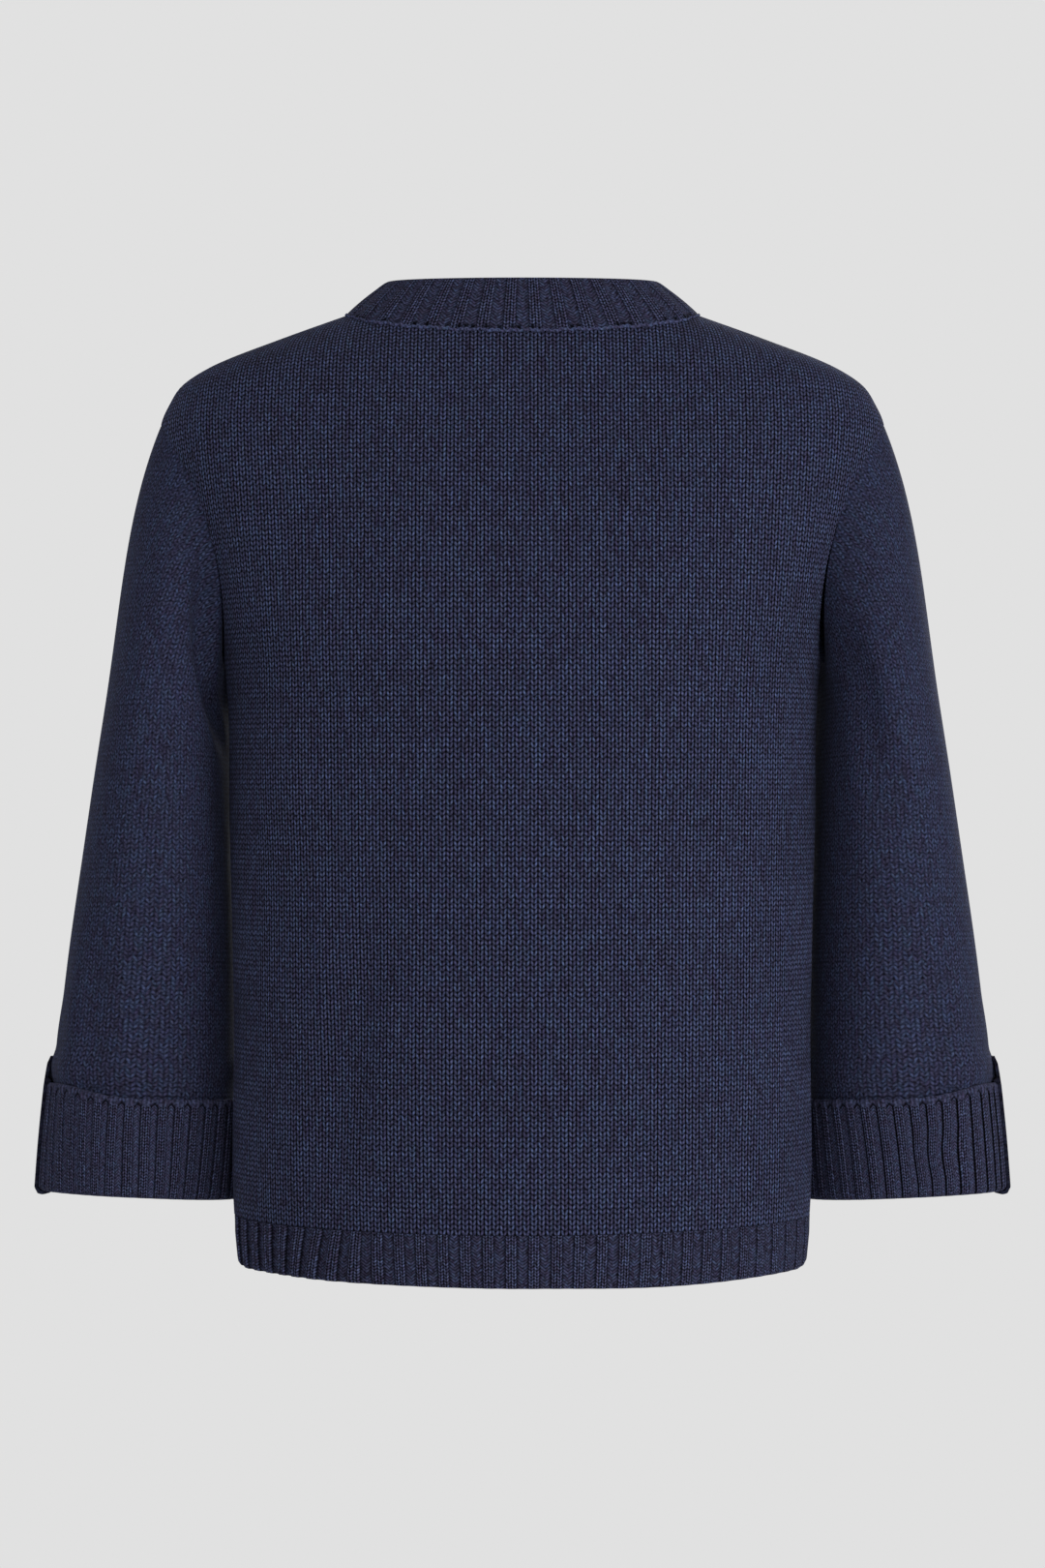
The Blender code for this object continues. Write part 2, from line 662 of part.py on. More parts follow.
def make_button(index, look):
    """A flat disc with a rounded edge, standing on the upper band's ribs."""
    height = BUTTON_FIRST + (BUTTON_LAST - BUTTON_FIRST) * index / (BUTTON_COUNT - 1)
    line, out = band_line()
    seat = np.array([np.interp(height, line[:, 2], line[:, i]) for i in range(3)])
    way = np.array([np.interp(height, line[:, 2], out[:, i]) for i in range(3)])
    way /= np.linalg.norm(way)
    seat = seat + way * (LAP + RIB_RAISE + SEAM)
    side = np.array((1.0, 0.0, 0.0))
    up = np.cross(way, side)
    inner_radius, upper_edge = BUTTON_RADIUS - BUTTON_EDGE, BUTTON_THICKNESS - BUTTON_EDGE
    profile = ((inner_radius, 0.0), (BUTTON_RADIUS, BUTTON_EDGE),
               (BUTTON_RADIUS, upper_edge), (inner_radius, BUTTON_THICKNESS))
    verts, faces = [], []
    for radius, rise in profile:
        for k in range(BUTTON_SIDES):
            turn = 2 * math.pi * k / BUTTON_SIDES
            verts.append(seat + way * rise + radius * (math.cos(turn) * side + math.sin(turn) * up))
    for ring in range(len(profile) - 1):
        here, there = ring * BUTTON_SIDES, (ring + 1) * BUTTON_SIDES
        for k in range(BUTTON_SIDES):
            after = (k + 1) % BUTTON_SIDES
            faces.append((here + k, here + after, there + after, there + k))
    faces.append(tuple(reversed(range(BUTTON_SIDES))))
    faces.append(tuple(range(len(verts) - BUTTON_SIDES, len(verts))))
    add_object(f"button_{index + 1}", verts, faces, look)


def build():
    clear_scene()
    knit = material("navy_knit", (0.026, 0.029, 0.058), 0.95)
    rib = material("navy_rib", (0.024, 0.027, 0.054), 0.95)
    tab = material("navy_tab", (0.022, 0.024, 0.046), 0.9)
    button = material("navy_button", (0.012, 0.013, 0.024), 0.35)
    make_back(knit)
    make_front("front_left", 1, knit)
    make_front("front_right", -1, knit)
    make_hem_back(rib)
    make_hem_front("hem_front_left", 1, rib)
    make_hem_front("hem_front_right", -1, rib)
    make_neckband(rib)
    make_band("band_left", 0.0, rib)
    make_band("band_right", LAP, rib)
    for name, hand in (("left", 1), ("right", -1)):
        make_sleeve(f"sleeve_{name}", hand, knit)
        make_cuff(f"cuff_{name}", hand, rib)
        make_tab(f"tab_{name}", hand, tab)
    for index in range(BUTTON_COUNT):
        make_button(index, button)


build()
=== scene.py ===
import math

import bmesh
import bpy
import numpy as np
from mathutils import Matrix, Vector


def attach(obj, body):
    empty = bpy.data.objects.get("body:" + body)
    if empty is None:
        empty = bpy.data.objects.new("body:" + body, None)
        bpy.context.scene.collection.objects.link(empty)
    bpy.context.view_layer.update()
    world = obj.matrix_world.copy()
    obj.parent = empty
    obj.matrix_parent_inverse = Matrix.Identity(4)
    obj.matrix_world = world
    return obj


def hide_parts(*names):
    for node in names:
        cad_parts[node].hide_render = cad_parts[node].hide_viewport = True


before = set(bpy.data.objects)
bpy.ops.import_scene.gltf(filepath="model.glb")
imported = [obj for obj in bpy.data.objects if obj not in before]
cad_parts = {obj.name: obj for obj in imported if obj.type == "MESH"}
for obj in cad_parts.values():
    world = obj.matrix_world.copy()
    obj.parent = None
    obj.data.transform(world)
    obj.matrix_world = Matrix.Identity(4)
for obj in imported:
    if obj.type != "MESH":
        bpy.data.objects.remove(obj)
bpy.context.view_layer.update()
MM = 0.001


# The studio: a pale floor without an edge in sight, a pale even surround and large soft lamps.
# The camera stands square on to the back at chest height, 2.14 m away, as the photograph was taken.
CAMERA_AWAY = 2140 * MM
CAMERA_HEIGHT = -276 * MM
CAMERA_LENS = 83.2
CHEST = Vector((0, 0, -0.25))
FLOOR_HEIGHT = -1450 * MM
FLOOR_RADIUS = 30.0
FLOOR_CLEAR = 1.2               # within this distance the floor is plain paint
FLOOR_GONE = 3.2                # and from here on it is as light as the surround
FLOOR_PAINT = (0.52, 0.52, 0.52, 1)
SURROUND = (0.753, 0.753, 0.753, 1)
LAMPS = (("lamp_right", (-2.1, 1.9, -0.45), 1.3, 44.5),     # name, place, width and watts
         ("lamp_left", (2.1, 1.9, -0.45), 1.3, 1.5),
         ("lamp_behind", (-0.4, 3.2, -0.3), 1.3, 33),
         ("lamp_front", (-0.9, -2.6, 0.6), 1.6, 52))


def put_in(name, data):
    """A new object in the scene."""
    made = bpy.data.objects.new(name, data)
    bpy.context.scene.collection.objects.link(made)
    return made


def mesh_of(work, name):
    """The mesh of a finished bmesh, shaded smooth."""
    mesh = bpy.data.meshes.new(name)
    work.to_mesh(mesh)
    work.free()
    mesh.shade_smooth()
    return mesh


def piece_of(mesh, looks):
    """A finished mesh with its materials, as an object."""
    for look in looks:
        mesh.materials.append(look)
    return put_in(mesh.name, mesh)


def new_look(name):
    """A new material and its shader."""
    look = bpy.data.materials.new(name)
    look.use_nodes = True
    return look, look.node_tree.nodes["Principled BSDF"]


def feed(node, **inputs):
    """Plug signals or plain values into a node. A name in small letters is a setting of the node."""
    for label, value in inputs.items():
        socket = None if label.islower() else node.inputs[label.replace("_", " ")]
        if socket is None:
            setattr(node, label, value)
        elif isinstance(value, Signal):
            node.id_data.links.new(value.socket, socket)
        else:
            socket.default_value = value
    return node


def work_out(operation, *values, kind="ShaderNodeMath"):
    """A math node's answer for signals and plain values."""
    node = next(value for value in values if isinstance(value, Signal)).tree.nodes.new(kind)
    node.operation = operation
    for socket, value in zip(node.inputs, values):
        if isinstance(value, Signal):
            node.id_data.links.new(value.socket, socket)
        else:
            socket.default_value = value
    return Signal(node.outputs[0])


class Signal:
    """What a node gives out. Arithmetic with it adds math nodes to the same material."""

    def __init__(self, socket):
        self.socket = socket
        self.tree = socket.id_data

    def __add__(self, other):
        return work_out("ADD", self, other)

    def __sub__(self, other):
        return work_out("SUBTRACT", self, other)

    def __rsub__(self, other):
        return work_out("SUBTRACT", other, self)

    def __mul__(self, other):
        return work_out("MULTIPLY", self, other)

    def __truediv__(self, other):
        return work_out("DIVIDE", self, other)

    def __pow__(self, other):
        return work_out("POWER", self, other)

    def __lt__(self, other):
        return work_out("LESS_THAN", self, other)

    def __gt__(self, other):
        return work_out("GREATER_THAN", self, other)

    def __abs__(self):
        return work_out("ABSOLUTE", self)

    def floor(self):
        return work_out("FLOOR", self)

    def fract(self):
        return work_out("FRACT", self)

    def at_least(self, other):
        return work_out("MAXIMUM", self, other)

    def node(self, kind, output, **inputs):
        """The output of a new node of any kind."""
        return Signal(feed(self.tree.nodes.new(kind), **inputs).outputs[output])

    def smooth(self, low, high):
        """0 below low, 1 above high and a soft step between them."""
        return self.node("ShaderNodeMapRange", "Result", interpolation_type="SMOOTHSTEP",
                         Value=self, From_Min=low, From_Max=high)


camera = put_in("camera", bpy.data.cameras.new("camera"))
camera.data.lens = CAMERA_LENS
camera.location = (0, CAMERA_AWAY, CAMERA_HEIGHT)
camera.rotation_euler = (math.pi / 2, 0, math.pi)
bpy.context.scene.camera = camera
bpy.context.scene.view_settings.view_transform = "Standard"

world = bpy.data.worlds.new("surround")
world.use_nodes = True
feed(world.node_tree.nodes["Background"], Color=SURROUND)
bpy.context.scene.world = world

for name, place, width, watts in LAMPS:
    lamp = put_in(name, bpy.data.lights.new(name, "AREA"))
    lamp.data.size = width
    lamp.data.energy = watts
    lamp.location = place
    lamp.rotation_euler = (CHEST - lamp.location).to_track_quat("-Z", "Y").to_euler()

floor_work = bmesh.new()
bmesh.ops.create_circle(floor_work, cap_ends=True, segments=96, radius=FLOOR_RADIUS)
floor_look, floor_shader = new_look("floor_paint")
feed(floor_shader, Base_Color=FLOOR_PAINT, Roughness=1.0, Specular_IOR_Level=0.0)
floor_tree = floor_look.node_tree
floor_place = Signal(floor_tree.nodes.new("ShaderNodeTexCoord").outputs["Object"])
floor_away = floor_place.node("ShaderNodeVectorMath", "Value", operation="LENGTH", Vector=floor_place)
floor_glow = feed(floor_tree.nodes.new("ShaderNodeEmission"), Color=SURROUND)
floor_mix = feed(floor_tree.nodes.new("ShaderNodeMixShader"), Fac=floor_away.smooth(FLOOR_CLEAR, FLOOR_GONE))
floor_tree.links.new(floor_shader.outputs[0], floor_mix.inputs[1])
floor_tree.links.new(floor_glow.outputs[0], floor_mix.inputs[2])
floor_tree.links.new(floor_mix.outputs[0], floor_tree.nodes["Material Output"].inputs["Surface"])
floor = piece_of(mesh_of(floor_work, "floor"), [floor_look])
floor.location = (0, 0, FLOOR_HEIGHT)


# The back: one knitted panel in stocking stitch, from a dark navy wool-blend yarn with lighter flecks.
# Its stitches run up from the hem, a wale to each column of stitches, and are cut off by the armholes,
# the shoulders and the neckline. The cloth keeps the form of the body's level sections.
WALL = 2.2 * MM
SEAM = 0.3 * MM
WALE = 4.31 * MM                # width of one stitch
COURSE = 2.91 * MM              # height of one stitch
WALE_STEPS = 4                  # columns of points to a wale
WALE_RAISE = 0.20 * MM          # how far a wale stands above the groove beside it
UNDERARM = -205 * MM
ARMHOLE_TOP = -65 * MM
ARMHOLE_HALF_DEPTH = 44 * MM
HEM_TOP = -529 * MM
HEM_BOTTOM = -559 * MM
NECK_HALF_WIDTH = 103.4 * MM
NECK_DROP = {1: 16 * MM, -1: 75 * MM}      # behind and in front
BAND_HALF_WIDTH = 16 * MM
RIB_RAISE = 1.2 * MM
LAP = RIB_RAISE + SEAM + WALL   # the wearer's right front stands this far over the left
LAP_REACH = 60 * MM
BODY = (
    ("height", "half_width", "back_depth", "front_depth", "roundness"),
    (0.0, 103.4, 52.0, 42.0, 2.00),
    (-14.5, 144.0, 61.0, 51.0, 2.00),
    (-31.0, 185.2, 71.0, 60.5, 2.00),
    (-40.0, 199.4, 75.5, 64.5, 2.00),
    (-53.0, 208.6, 81.5, 70.0, 2.02),
    (-65.0, 213.4, 86.5, 75.5, 2.05),
    (-80.0, 211.5, 92.5, 83.5, 2.10),
    (-110.0, 201.0, 101.0, 98.0, 2.20),
    (-160.0, 184.5, 110.0, 110.5, 2.25),
    (-205.0, 176.0, 113.0, 116.0, 2.15),
    (-300.0, 173.0, 114.5, 117.0, 2.00),
    (-420.0, 170.5, 113.0, 114.0, 1.95),
    (-529.0, 170.4, 111.0, 111.0, 1.84),
    (-559.0, 168.0, 110.0, 110.0, 1.76),
)
# Soft folds of the body in mm: a trough where depth is below zero, a ridge where it is above.
# Part is 1 behind and -1 in front; lean is how far the fold moves outwards over its height.
BODY_FOLDS = (
    ("part", "across", "lean", "low", "high", "half_width", "depth"),
    (1, 101, -17, -552, -320, 15, -3.4),
    (1, 62, -14, -545, -350, 26, 1.8),
    (1, 118, 14, -200, -55, 34, -3.6),
    (1, 140, 4, -330, -200, 20, 1.6),
    (1, -124, 8, -540, -440, 14, -1.0),
    (1, -120, -14, -190, -70, 24, -1.6),
    (1, -50, 12, -330, -170, 46, 1.4),
    (1, 42, 2, -86, -20, 24, -1.4),
    (1, -62, -6, -108, -34, 30, -1.6),
    (-1, -105, 6, -535, -370, 15, -2.4),
    (-1, -80, 4, -530, -400, 13, 1.4),
    (-1, 112, -5, -540, -420, 14, -1.8),
    (-1, 120, 22, -170, -70, 30, -2.0),
    (-1, -118, -20, -180, -80, 28, -1.8),
)
FOLD_SOFTNESS = 1.6             # a fold fades out over this many times its half width


def joined(*values):
    """Points or pairs from their separate values."""
    return np.stack(np.broadcast_arrays(*values), axis=-1)


def unit(ways):
    """Directions of length 1."""
    return ways / np.linalg.norm(ways, axis=-1, keepdims=True)


def read_along(at, lengths, values):
    """Points given at lengths along a line, read at other lengths."""
    return np.stack([np.interp(at, lengths, column) for column in values.T], axis=-1)


def running_length(points, axis):
    """Lengths along lines of points, from each line's start."""
    steps = np.linalg.norm(np.diff(points, axis=axis), axis=-1)
    start = np.zeros_like(np.take(steps, [0], axis=axis))
    return np.concatenate((start, np.cumsum(steps, axis=axis)), axis=axis)


def bump(t):
    """1 at t = 0, falling smoothly to 0 at t = 1."""
    t = np.clip(np.abs(t), 0, 1)
    return (1 - t * t) ** 2


def ease(t):
    """0 below t = 0 and 1 above t = 1, with a soft step between them."""
    t = np.clip(t, 0, 1)
    return t * t * (3 - 2 * t)


def smooth_table(table, column, height):
    """A column of a table at many heights, smooth between its rows."""
    rows = np.array(table[:0:-1]) * MM
    heights, values = rows[:, 0], rows[:, table[0].index(column)]
    slopes = np.gradient(values, heights)
    low = np.clip(np.searchsorted(heights, height) - 1, 0, len(heights) - 2)
    step = heights[low + 1] - heights[low]
    t = np.clip((height - heights[low]) / step, 0, 1)
    return ((1 + 2 * t) * (1 - t) ** 2 * values[low]
            + t * (1 - t) ** 2 * step * slopes[low]
            + t * t * (3 - 2 * t) * values[low + 1]
            + t * t * (t - 1) * step * slopes[low + 1])


def body_section(height, side):
    depth = "back_depth" if side > 0 else "front_depth"
    return (smooth_table(BODY, "half_width", height), smooth_table(BODY, depth, height),
            smooth_table(BODY, "roundness", height) / MM)


def body_y(x, height, side):
    half_width, depth, power = body_section(height, side)
    return side * depth * np.maximum(1 - np.abs(x / half_width) ** power, 0) ** (1 / power)


def body_out(points, side):
    """Outward directions of the body's form at points on it."""
    x, y, height = np.abs(points[..., 0]), np.abs(points[..., 1]), points[..., 2]
    step = MM / 2

    def level(at):
        half_width, depth, power = body_section(at, side)
        return (x / half_width) ** power + (y / depth) ** power

    half_width, depth, power = body_section(height, side)
    return unit(joined(np.sign(points[..., 0]) * power * x ** (power - 1) / half_width ** power,
                       side * power * y ** (power - 1) / depth ** power,
                       (level(height + step) - level(height - step)) / (2 * step)))


def folds(table, part, across, height):
    """How far the cloth of one part stands out at each point because of the folds in a table."""
    total = np.zeros(height.shape)
    for row in table[1:]:
        fold = dict(zip(table[0], row))
        if fold["part"] == part:
            middle, reach = (fold["low"] + fold["high"]) / 2, (fold["high"] - fold["low"]) / 2
            along = (height / MM - middle) / reach
            aside = (across - fold["across"] - fold["lean"] * along) / fold["half_width"]
            total += fold["depth"] * MM * bump(along) * bump(aside / FOLD_SOFTNESS)
    return total


def lap_lift(points):
    """How far forward the wearer's right front stands near its band."""
    away = (-points[..., 0] - BAND_HALF_WIDTH) / LAP_REACH
    in_front = (points[..., 0] < 0) & (points[..., 1] < 0)
    return joined(0, -np.where(in_front, LAP * (1 - ease(away)), 0), 0)


def body_map(side, start_x):
    """The body's form unrolled: its level sections' points by height and by share of their length."""
    heights = np.linspace(HEM_BOTTOM, 0, 420)
    half_width, depth, power = (v[:, None] for v in body_section(heights, side))
    start = np.arcsin(np.minimum(start_x / half_width, 1) ** (power / 2))
    angle = start + (math.pi / 2 - start) * np.linspace(0, 1, 300)
    section = joined(half_width * np.sin(angle) ** (2 / power),
                     depth * np.maximum(np.cos(angle), 0) ** (2 / power))
    lengths = running_length(section, 1)
    shares = np.linspace(0, 1, 420)
    points = np.array([read_along(shares * row[-1], row, line) for row, line in zip(lengths, section)])
    middle, reach = (ARMHOLE_TOP + UNDERARM) / 2, (ARMHOLE_TOP - UNDERARM) / 2
    cut = ARMHOLE_HALF_DEPTH * np.sin(np.arccos(np.clip((middle - heights) / reach, -1, 1)))
    edge = np.array([np.interp(-c, -line[:, 1], row) for c, line, row in zip(cut, section, lengths)])
    return {"heights": heights, "points": points, "length": lengths[:, -1], "edge": edge, "side": side}


def map_point(form, along, height):
    """The point at a length along the section at a height; negative lengths lie at negative x."""
    heights, points = form["heights"], form["points"]
    level = np.clip((height - heights[0]) / (heights[1] - heights[0]), 0, len(heights) - 1.001)
    share = np.abs(along) / np.interp(height, heights, form["length"])
    place = np.clip(share, 0, 1) * (points.shape[1] - 1)
    j, k = level.astype(int), np.minimum(place.astype(int), points.shape[1] - 2)
    a, b = (level - j)[..., None], (place - k)[..., None]
    at = ((1 - a) * ((1 - b) * points[j, k] + b * points[j, k + 1])
          + a * ((1 - b) * points[j + 1, k] + b * points[j + 1, k + 1]))
    return joined(np.sign(along) * at[..., 0], form["side"] * at[..., 1], height)


def wale_raise(wales):
    """Height of the cloth across a wale: two legs, a shallow middle and a deeper groove."""
    across = wales - np.floor(wales)
    legs = 1 - np.abs(np.abs(across - 0.5) * 4 - 1) ** 1.6
    return WALE_RAISE * (legs * 0.9 - 0.7 + 0.25 * bump((across - 0.5) / 0.3))


def wander(along, up, size):
    """A slow uneven drift of the wales, as hand-guided cloth has."""
    return size * (np.sin(along * 71 + up * 37) * 0.5 + np.sin(along * 23 - up * 61 + 1.3) * 0.5
                   + np.sin(up * 171 + along * 13 + 0.4) * 0.35)


def seam_roll(held, points):
    """The cloth dips at its seams, and more widely low down the right armhole where it is pulled."""
    low = 1 - np.clip((points[..., 2] - UNDERARM) / (90 * MM), 0, 1)
    pulled = np.where(points[..., 0] < 0, 1.5, 0.3) * MM
    return -0.3 * MM * low * bump(held / (2.5 * MM)) - pulled * low * bump(held / (16 * MM))


def touched(free):
    """The cells that have a corner on the cloth."""
    return free[:-1, :-1] | free[:-1, 1:] | free[1:, :-1] | free[1:, 1:]


def panel_cloth(side, start_x, hand):
    """A body panel's two faces, its stitch numbers and the cells that belong to it.
    hand is 0 for the whole back, 1 for the wearer's left front and -1 for the right."""
    form = body_map(side, start_x)
    step = WALE / WALE_STEPS
    count = math.ceil(form["length"].max() / step)
    along = np.arange(-count if hand == 0 else 0, count + 1) * step
    levels = np.linspace(HEM_TOP, 0, 320)
    grid_along, grid_level = np.meshgrid(along, levels)
    free = map_point(form, grid_along, grid_level)
    climbed = running_length(free, 0)

    inside = np.sqrt(np.maximum(1 - (free[..., 0] / NECK_HALF_WIDTH) ** 2, 0))
    over_neck = grid_level + NECK_DROP[side] * inside
    over_shoulder = np.abs(grid_along) - np.interp(levels, form["heights"], form["length"])[:, None]
    upper = grid_level > ARMHOLE_TOP * 1.6
    past = np.where(upper, np.maximum(over_neck, over_shoulder), -1)
    past[-1] = np.maximum(past[-1], 1e-6)
    ends = []
    for k in range(len(along)):
        first = max(int(np.argmax(past[:, k] > 0)), 1)
        low, high = past[first - 1, k], past[first, k]
        t = min(max(-low / (high - low), 0), 1)
        ends.append(climbed[first - 1, k] + t * (climbed[first, k] - climbed[first - 1, k]))
    ends = np.array(ends)

    rows = np.arange(math.ceil(ends.max() / COURSE) + 1)[:, None]
    up = np.minimum(rows * COURSE, ends)
    height = np.array([np.interp(up[:, k], climbed[:, k], levels) for k in range(len(along))]).T
    edge = np.interp(height, form["heights"], form["edge"])
    calm = np.clip(np.minimum(edge - np.abs(along), ends - up) / (12 * MM), 0, 1)
    placed = along + wander(along + hand * 0.7, up, 0.35 * MM) * calm
    if hand != 0:
        placed = np.maximum(placed, 0)
    placed = np.sign(placed) * np.minimum(np.abs(placed), edge)
    base = map_point(form, placed, height)
    if hand != 0:
        base[..., 0] = np.abs(base[..., 0]) * hand

    out = body_out(base, side)
    held = np.clip(np.minimum(edge - np.abs(placed), ends - up), 0, 1)
    fold = folds(BODY_FOLDS, side, base[..., 0] / MM, base[..., 2]) * (1 - bump(held / (25 * MM)))
    if hand != 0:
        fold = fold * (1 - bump(np.abs(placed) / (25 * MM)))
    fold = fold + seam_roll(held, base)
    ridge = wale_raise(placed / WALE) * (1 - bump(held / (2 * MM)))
    lifted = base + (lap_lift(base) if hand < 0 else 0)
    outer, inner = (lifted + out * raised[..., None] for raised in (fold + ridge, fold - WALL))
    keep = touched((np.abs(along) < edge) & (rows * COURSE < ends))
    return outer, inner, joined(placed / WALE, up / COURSE), keep


def cloth_wall(name, outer, inner, stitches, looks, keep=None, around=False, block=4):
    """A closed wall of cloth from a grid of points for its outer face and one for its inner face.
    The inner face is plainer: whole blocks of its cells become one face each."""
    rows, columns = outer.shape[:2]
    outer_points, inner_points = outer.reshape(-1, 3), inner.reshape(-1, 3)
    work = bmesh.new()
    bmesh.ops.create_grid(work, x_segments=columns - 1, y_segments=rows - 1, size=1)
    place = work.verts.layers.int.new("place")
    face_side = work.verts.layers.int.new("outside")
    cell = work.faces.layers.int.new("cell")
    for vert in work.verts:
        vert[place] = vert.index
        vert.co = outer_points[vert.index]
    for face in work.faces:
        face[cell] = min(vert[place] for vert in face.verts)
    if keep is not None:
        unwanted = [f for f in work.faces if not keep[f[cell] // columns, f[cell] % columns]]
        bmesh.ops.delete(work, geom=unwanted, context="FACES")
    if around:
        ends = [v for v in work.verts if v[place] % columns in (0, columns - 1)]
        bmesh.ops.remove_doubles(work, verts=ends, dist=1e-6)

    inner_faces = list(work.faces)
    grown = bmesh.ops.extrude_face_region(work, geom=inner_faces, use_keep_orig=True)
    for part in grown["geom"]:
        if isinstance(part, bmesh.types.BMVert):
            part[face_side] = 1
    for vert in work.verts:
        points = outer_points if vert[face_side] else inner_points
        vert.co = points[vert[place]]

    blocks = {}
    for face in inner_faces:
        face.material_index = 1
        j, k = face[cell] // columns, face[cell] % columns
        blocks.setdefault((j // block, k // block), []).append(face)
    for colour in (0, 1):
        whole = [face for (j, k), faces in blocks.items()
                 if len(faces) == block * block and (j + k) % 2 == colour for face in faces]
        bmesh.ops.dissolve_faces(work, faces=whole, use_verts=True)
    bmesh.ops.recalc_face_normals(work, faces=work.faces)
    mesh = mesh_of(work, name)

    def read(source, kind):
        values = np.zeros(len(source), dtype=np.int32)
        source.foreach_get(kind, values)
        return values

    corner_vert = read(mesh.loops, "vertex_index")
    totals = read(mesh.polygons, "loop_total")
    corner_cell = np.repeat(read(mesh.attributes["cell"].data, "value"), totals) % columns
    corner_place = read(mesh.attributes["place"].data, "value")[corner_vert]
    outside = read(mesh.attributes["outside"].data, "value")[corner_vert]
    j, k = corner_place // columns, corner_place % columns
    if around:
        k = np.where((k == 0) & (corner_cell > columns // 2), columns - 1, k)
        k = np.where((k == columns - 1) & (corner_cell < columns // 2), 0, k)
    first = np.concatenate(((0,), np.cumsum(totals)[:-1]))
    rim = np.repeat(np.add.reduceat(outside, first) % totals != 0, totals)
    bake_x = np.where(rim, (j / (rows - 1) + k / (columns - 1)) / 2, k / (columns - 1))
    bake_y = np.where(outside, 0.1 + 0.9 * j / (rows - 1), 0.08 * j / (rows - 1))
    bake = joined(bake_x, np.where(rim, 0.085 + 0.01 * outside, bake_y))
    for layer, values in (("OFBake", bake), ("stitches", stitches[j, k])):
        made = mesh.uv_layers.new(name=layer)
        made.data.foreach_set("uv", values.astype(np.float32).ravel())
    for attribute in ("place", "outside", "cell"):
        mesh.attributes.remove(mesh.attributes[attribute])
    mesh.set_sharp_from_angle(angle=math.radians(60))
    return piece_of(mesh, looks)


NAVY = (0.0166, 0.0186, 0.0384, 1)
FLECK = (0.046, 0.056, 0.112, 1)
FLECK_SHARE = 0.6
PAINTED_LIGHT_SHARE = 2.6                 # painted light and shade: how much lighter the yarn is painted on top of a leg; a groove is painted dark as its shade
TINTS = (-0.34, 0.10, 0.10)     # how red, green and blue vary from a dark leg to a light one
GRAIN = 2.1                     # how much it varies from speck to speck
SHEEN_TINT = (0.55, 0.6, 0.85, 1)


def pair(x, y):
    """Two signals as the place that a noise is read at."""
    return x.node("ShaderNodeCombineXYZ", 0, X=x, Y=y)


def noise(place, scale, detail, roughness=0.5):
    return place.node("ShaderNodeTexNoise", 0, Vector=place, Scale=scale, Detail=detail,
                      Roughness=roughness)


def white_noise(place, output):
    return place.node("ShaderNodeTexWhiteNoise", output, Vector=place)


def mixed(share, colour, other):
    return share.node("ShaderNodeMix", "Result", data_type="RGBA", Factor=share, A=colour, B=other)


def yarn_colour(wales, courses, level, height, strength, uneven, grain, tone):
    """Navy yarn: painted shade between its legs and painted light on their tops, uneven from leg to leg, with
    lighter fibres in it.
    """
    leg = pair((wales * 2).floor(), courses.floor())
    along_yarn = noise(pair(wales * 0.16, courses.floor() * 7.7), 1.0, 1.0)
    fibres = noise(pair(wales * 3.1, courses * 2.3), 1.7, 3.0, 0.7)
    specks = noise(pair(wales * (3.1 * grain), level * (2.1 * grain)), 1.0, 0.0)
    # Painted light and shade: the yarn is painted lighter where the stitch stands high and darker in its
    # hollows, with its uneven tone from leg to leg and speck to speck.
    light = height * PAINTED_LIGHT_SHARE * (white_noise(leg, "Value") * uneven + (1 - uneven / 2))
    light = light * (along_yarn * 0.3 + 0.85) * (specks * GRAIN + (1 - GRAIN / 2)).at_least(0.1) * strength
    flecks = fibres.smooth(0.56, 0.78) * height * FLECK_SHARE
    steep = [amount * part for amount, part in zip(TINTS, tone)]
    start = [(1 - amount / 2) * part for amount, part in zip(TINTS, tone)]
    vectors = "ShaderNodeVectorMath"
    tint = work_out("MULTIPLY_ADD", white_noise(leg, "Color"), steep, start, kind=vectors)
    shade = work_out("MULTIPLY", mixed(flecks, NAVY, FLECK), light, kind=vectors)
    return work_out("MULTIPLY", shade, tint, kind=vectors), fibres


def knit_look(name, pattern, depth, strength, uneven=0.5, grain=1.0, tone=(1, 1, 1)):
    """A knitted material. pattern makes the height of the stitches, from 0 to 1, from their numbers; the
    height gives the bump and also paints the colour, as painted light on high places and painted shade in low
    ones.
    """
    look, shader = new_look(name)
    uv = feed(look.node_tree.nodes.new("ShaderNodeUVMap"), uv_map="stitches")
    split = feed(look.node_tree.nodes.new("ShaderNodeSeparateXYZ"), Vector=Signal(uv.outputs[0]))
    wales, courses = Signal(split.outputs[0]), Signal(split.outputs[1])
    height, leg_course = pattern(wales, courses)
    colour, fibres = yarn_colour(wales, leg_course, courses, height, strength, uneven, grain, tone)
    normal = wales.node("ShaderNodeBump", 0, Height=fibres * 0.3 + height, Strength=1.0, Distance=depth)
    feed(shader, Base_Color=colour, Normal=normal, Roughness=0.9, Specular_IOR_Level=0.03,
         Sheen_Weight=0.03, Sheen_Roughness=0.45, Sheen_Tint=SHEEN_TINT)
    return look


LEG_SLANT = 0.42                # how far across its half of the wale a leg moves in one course
LEG_WIDTH = 0.45
LEG_LENGTH = 0.68               # half its length, in courses: it reaches over its neighbours' ends


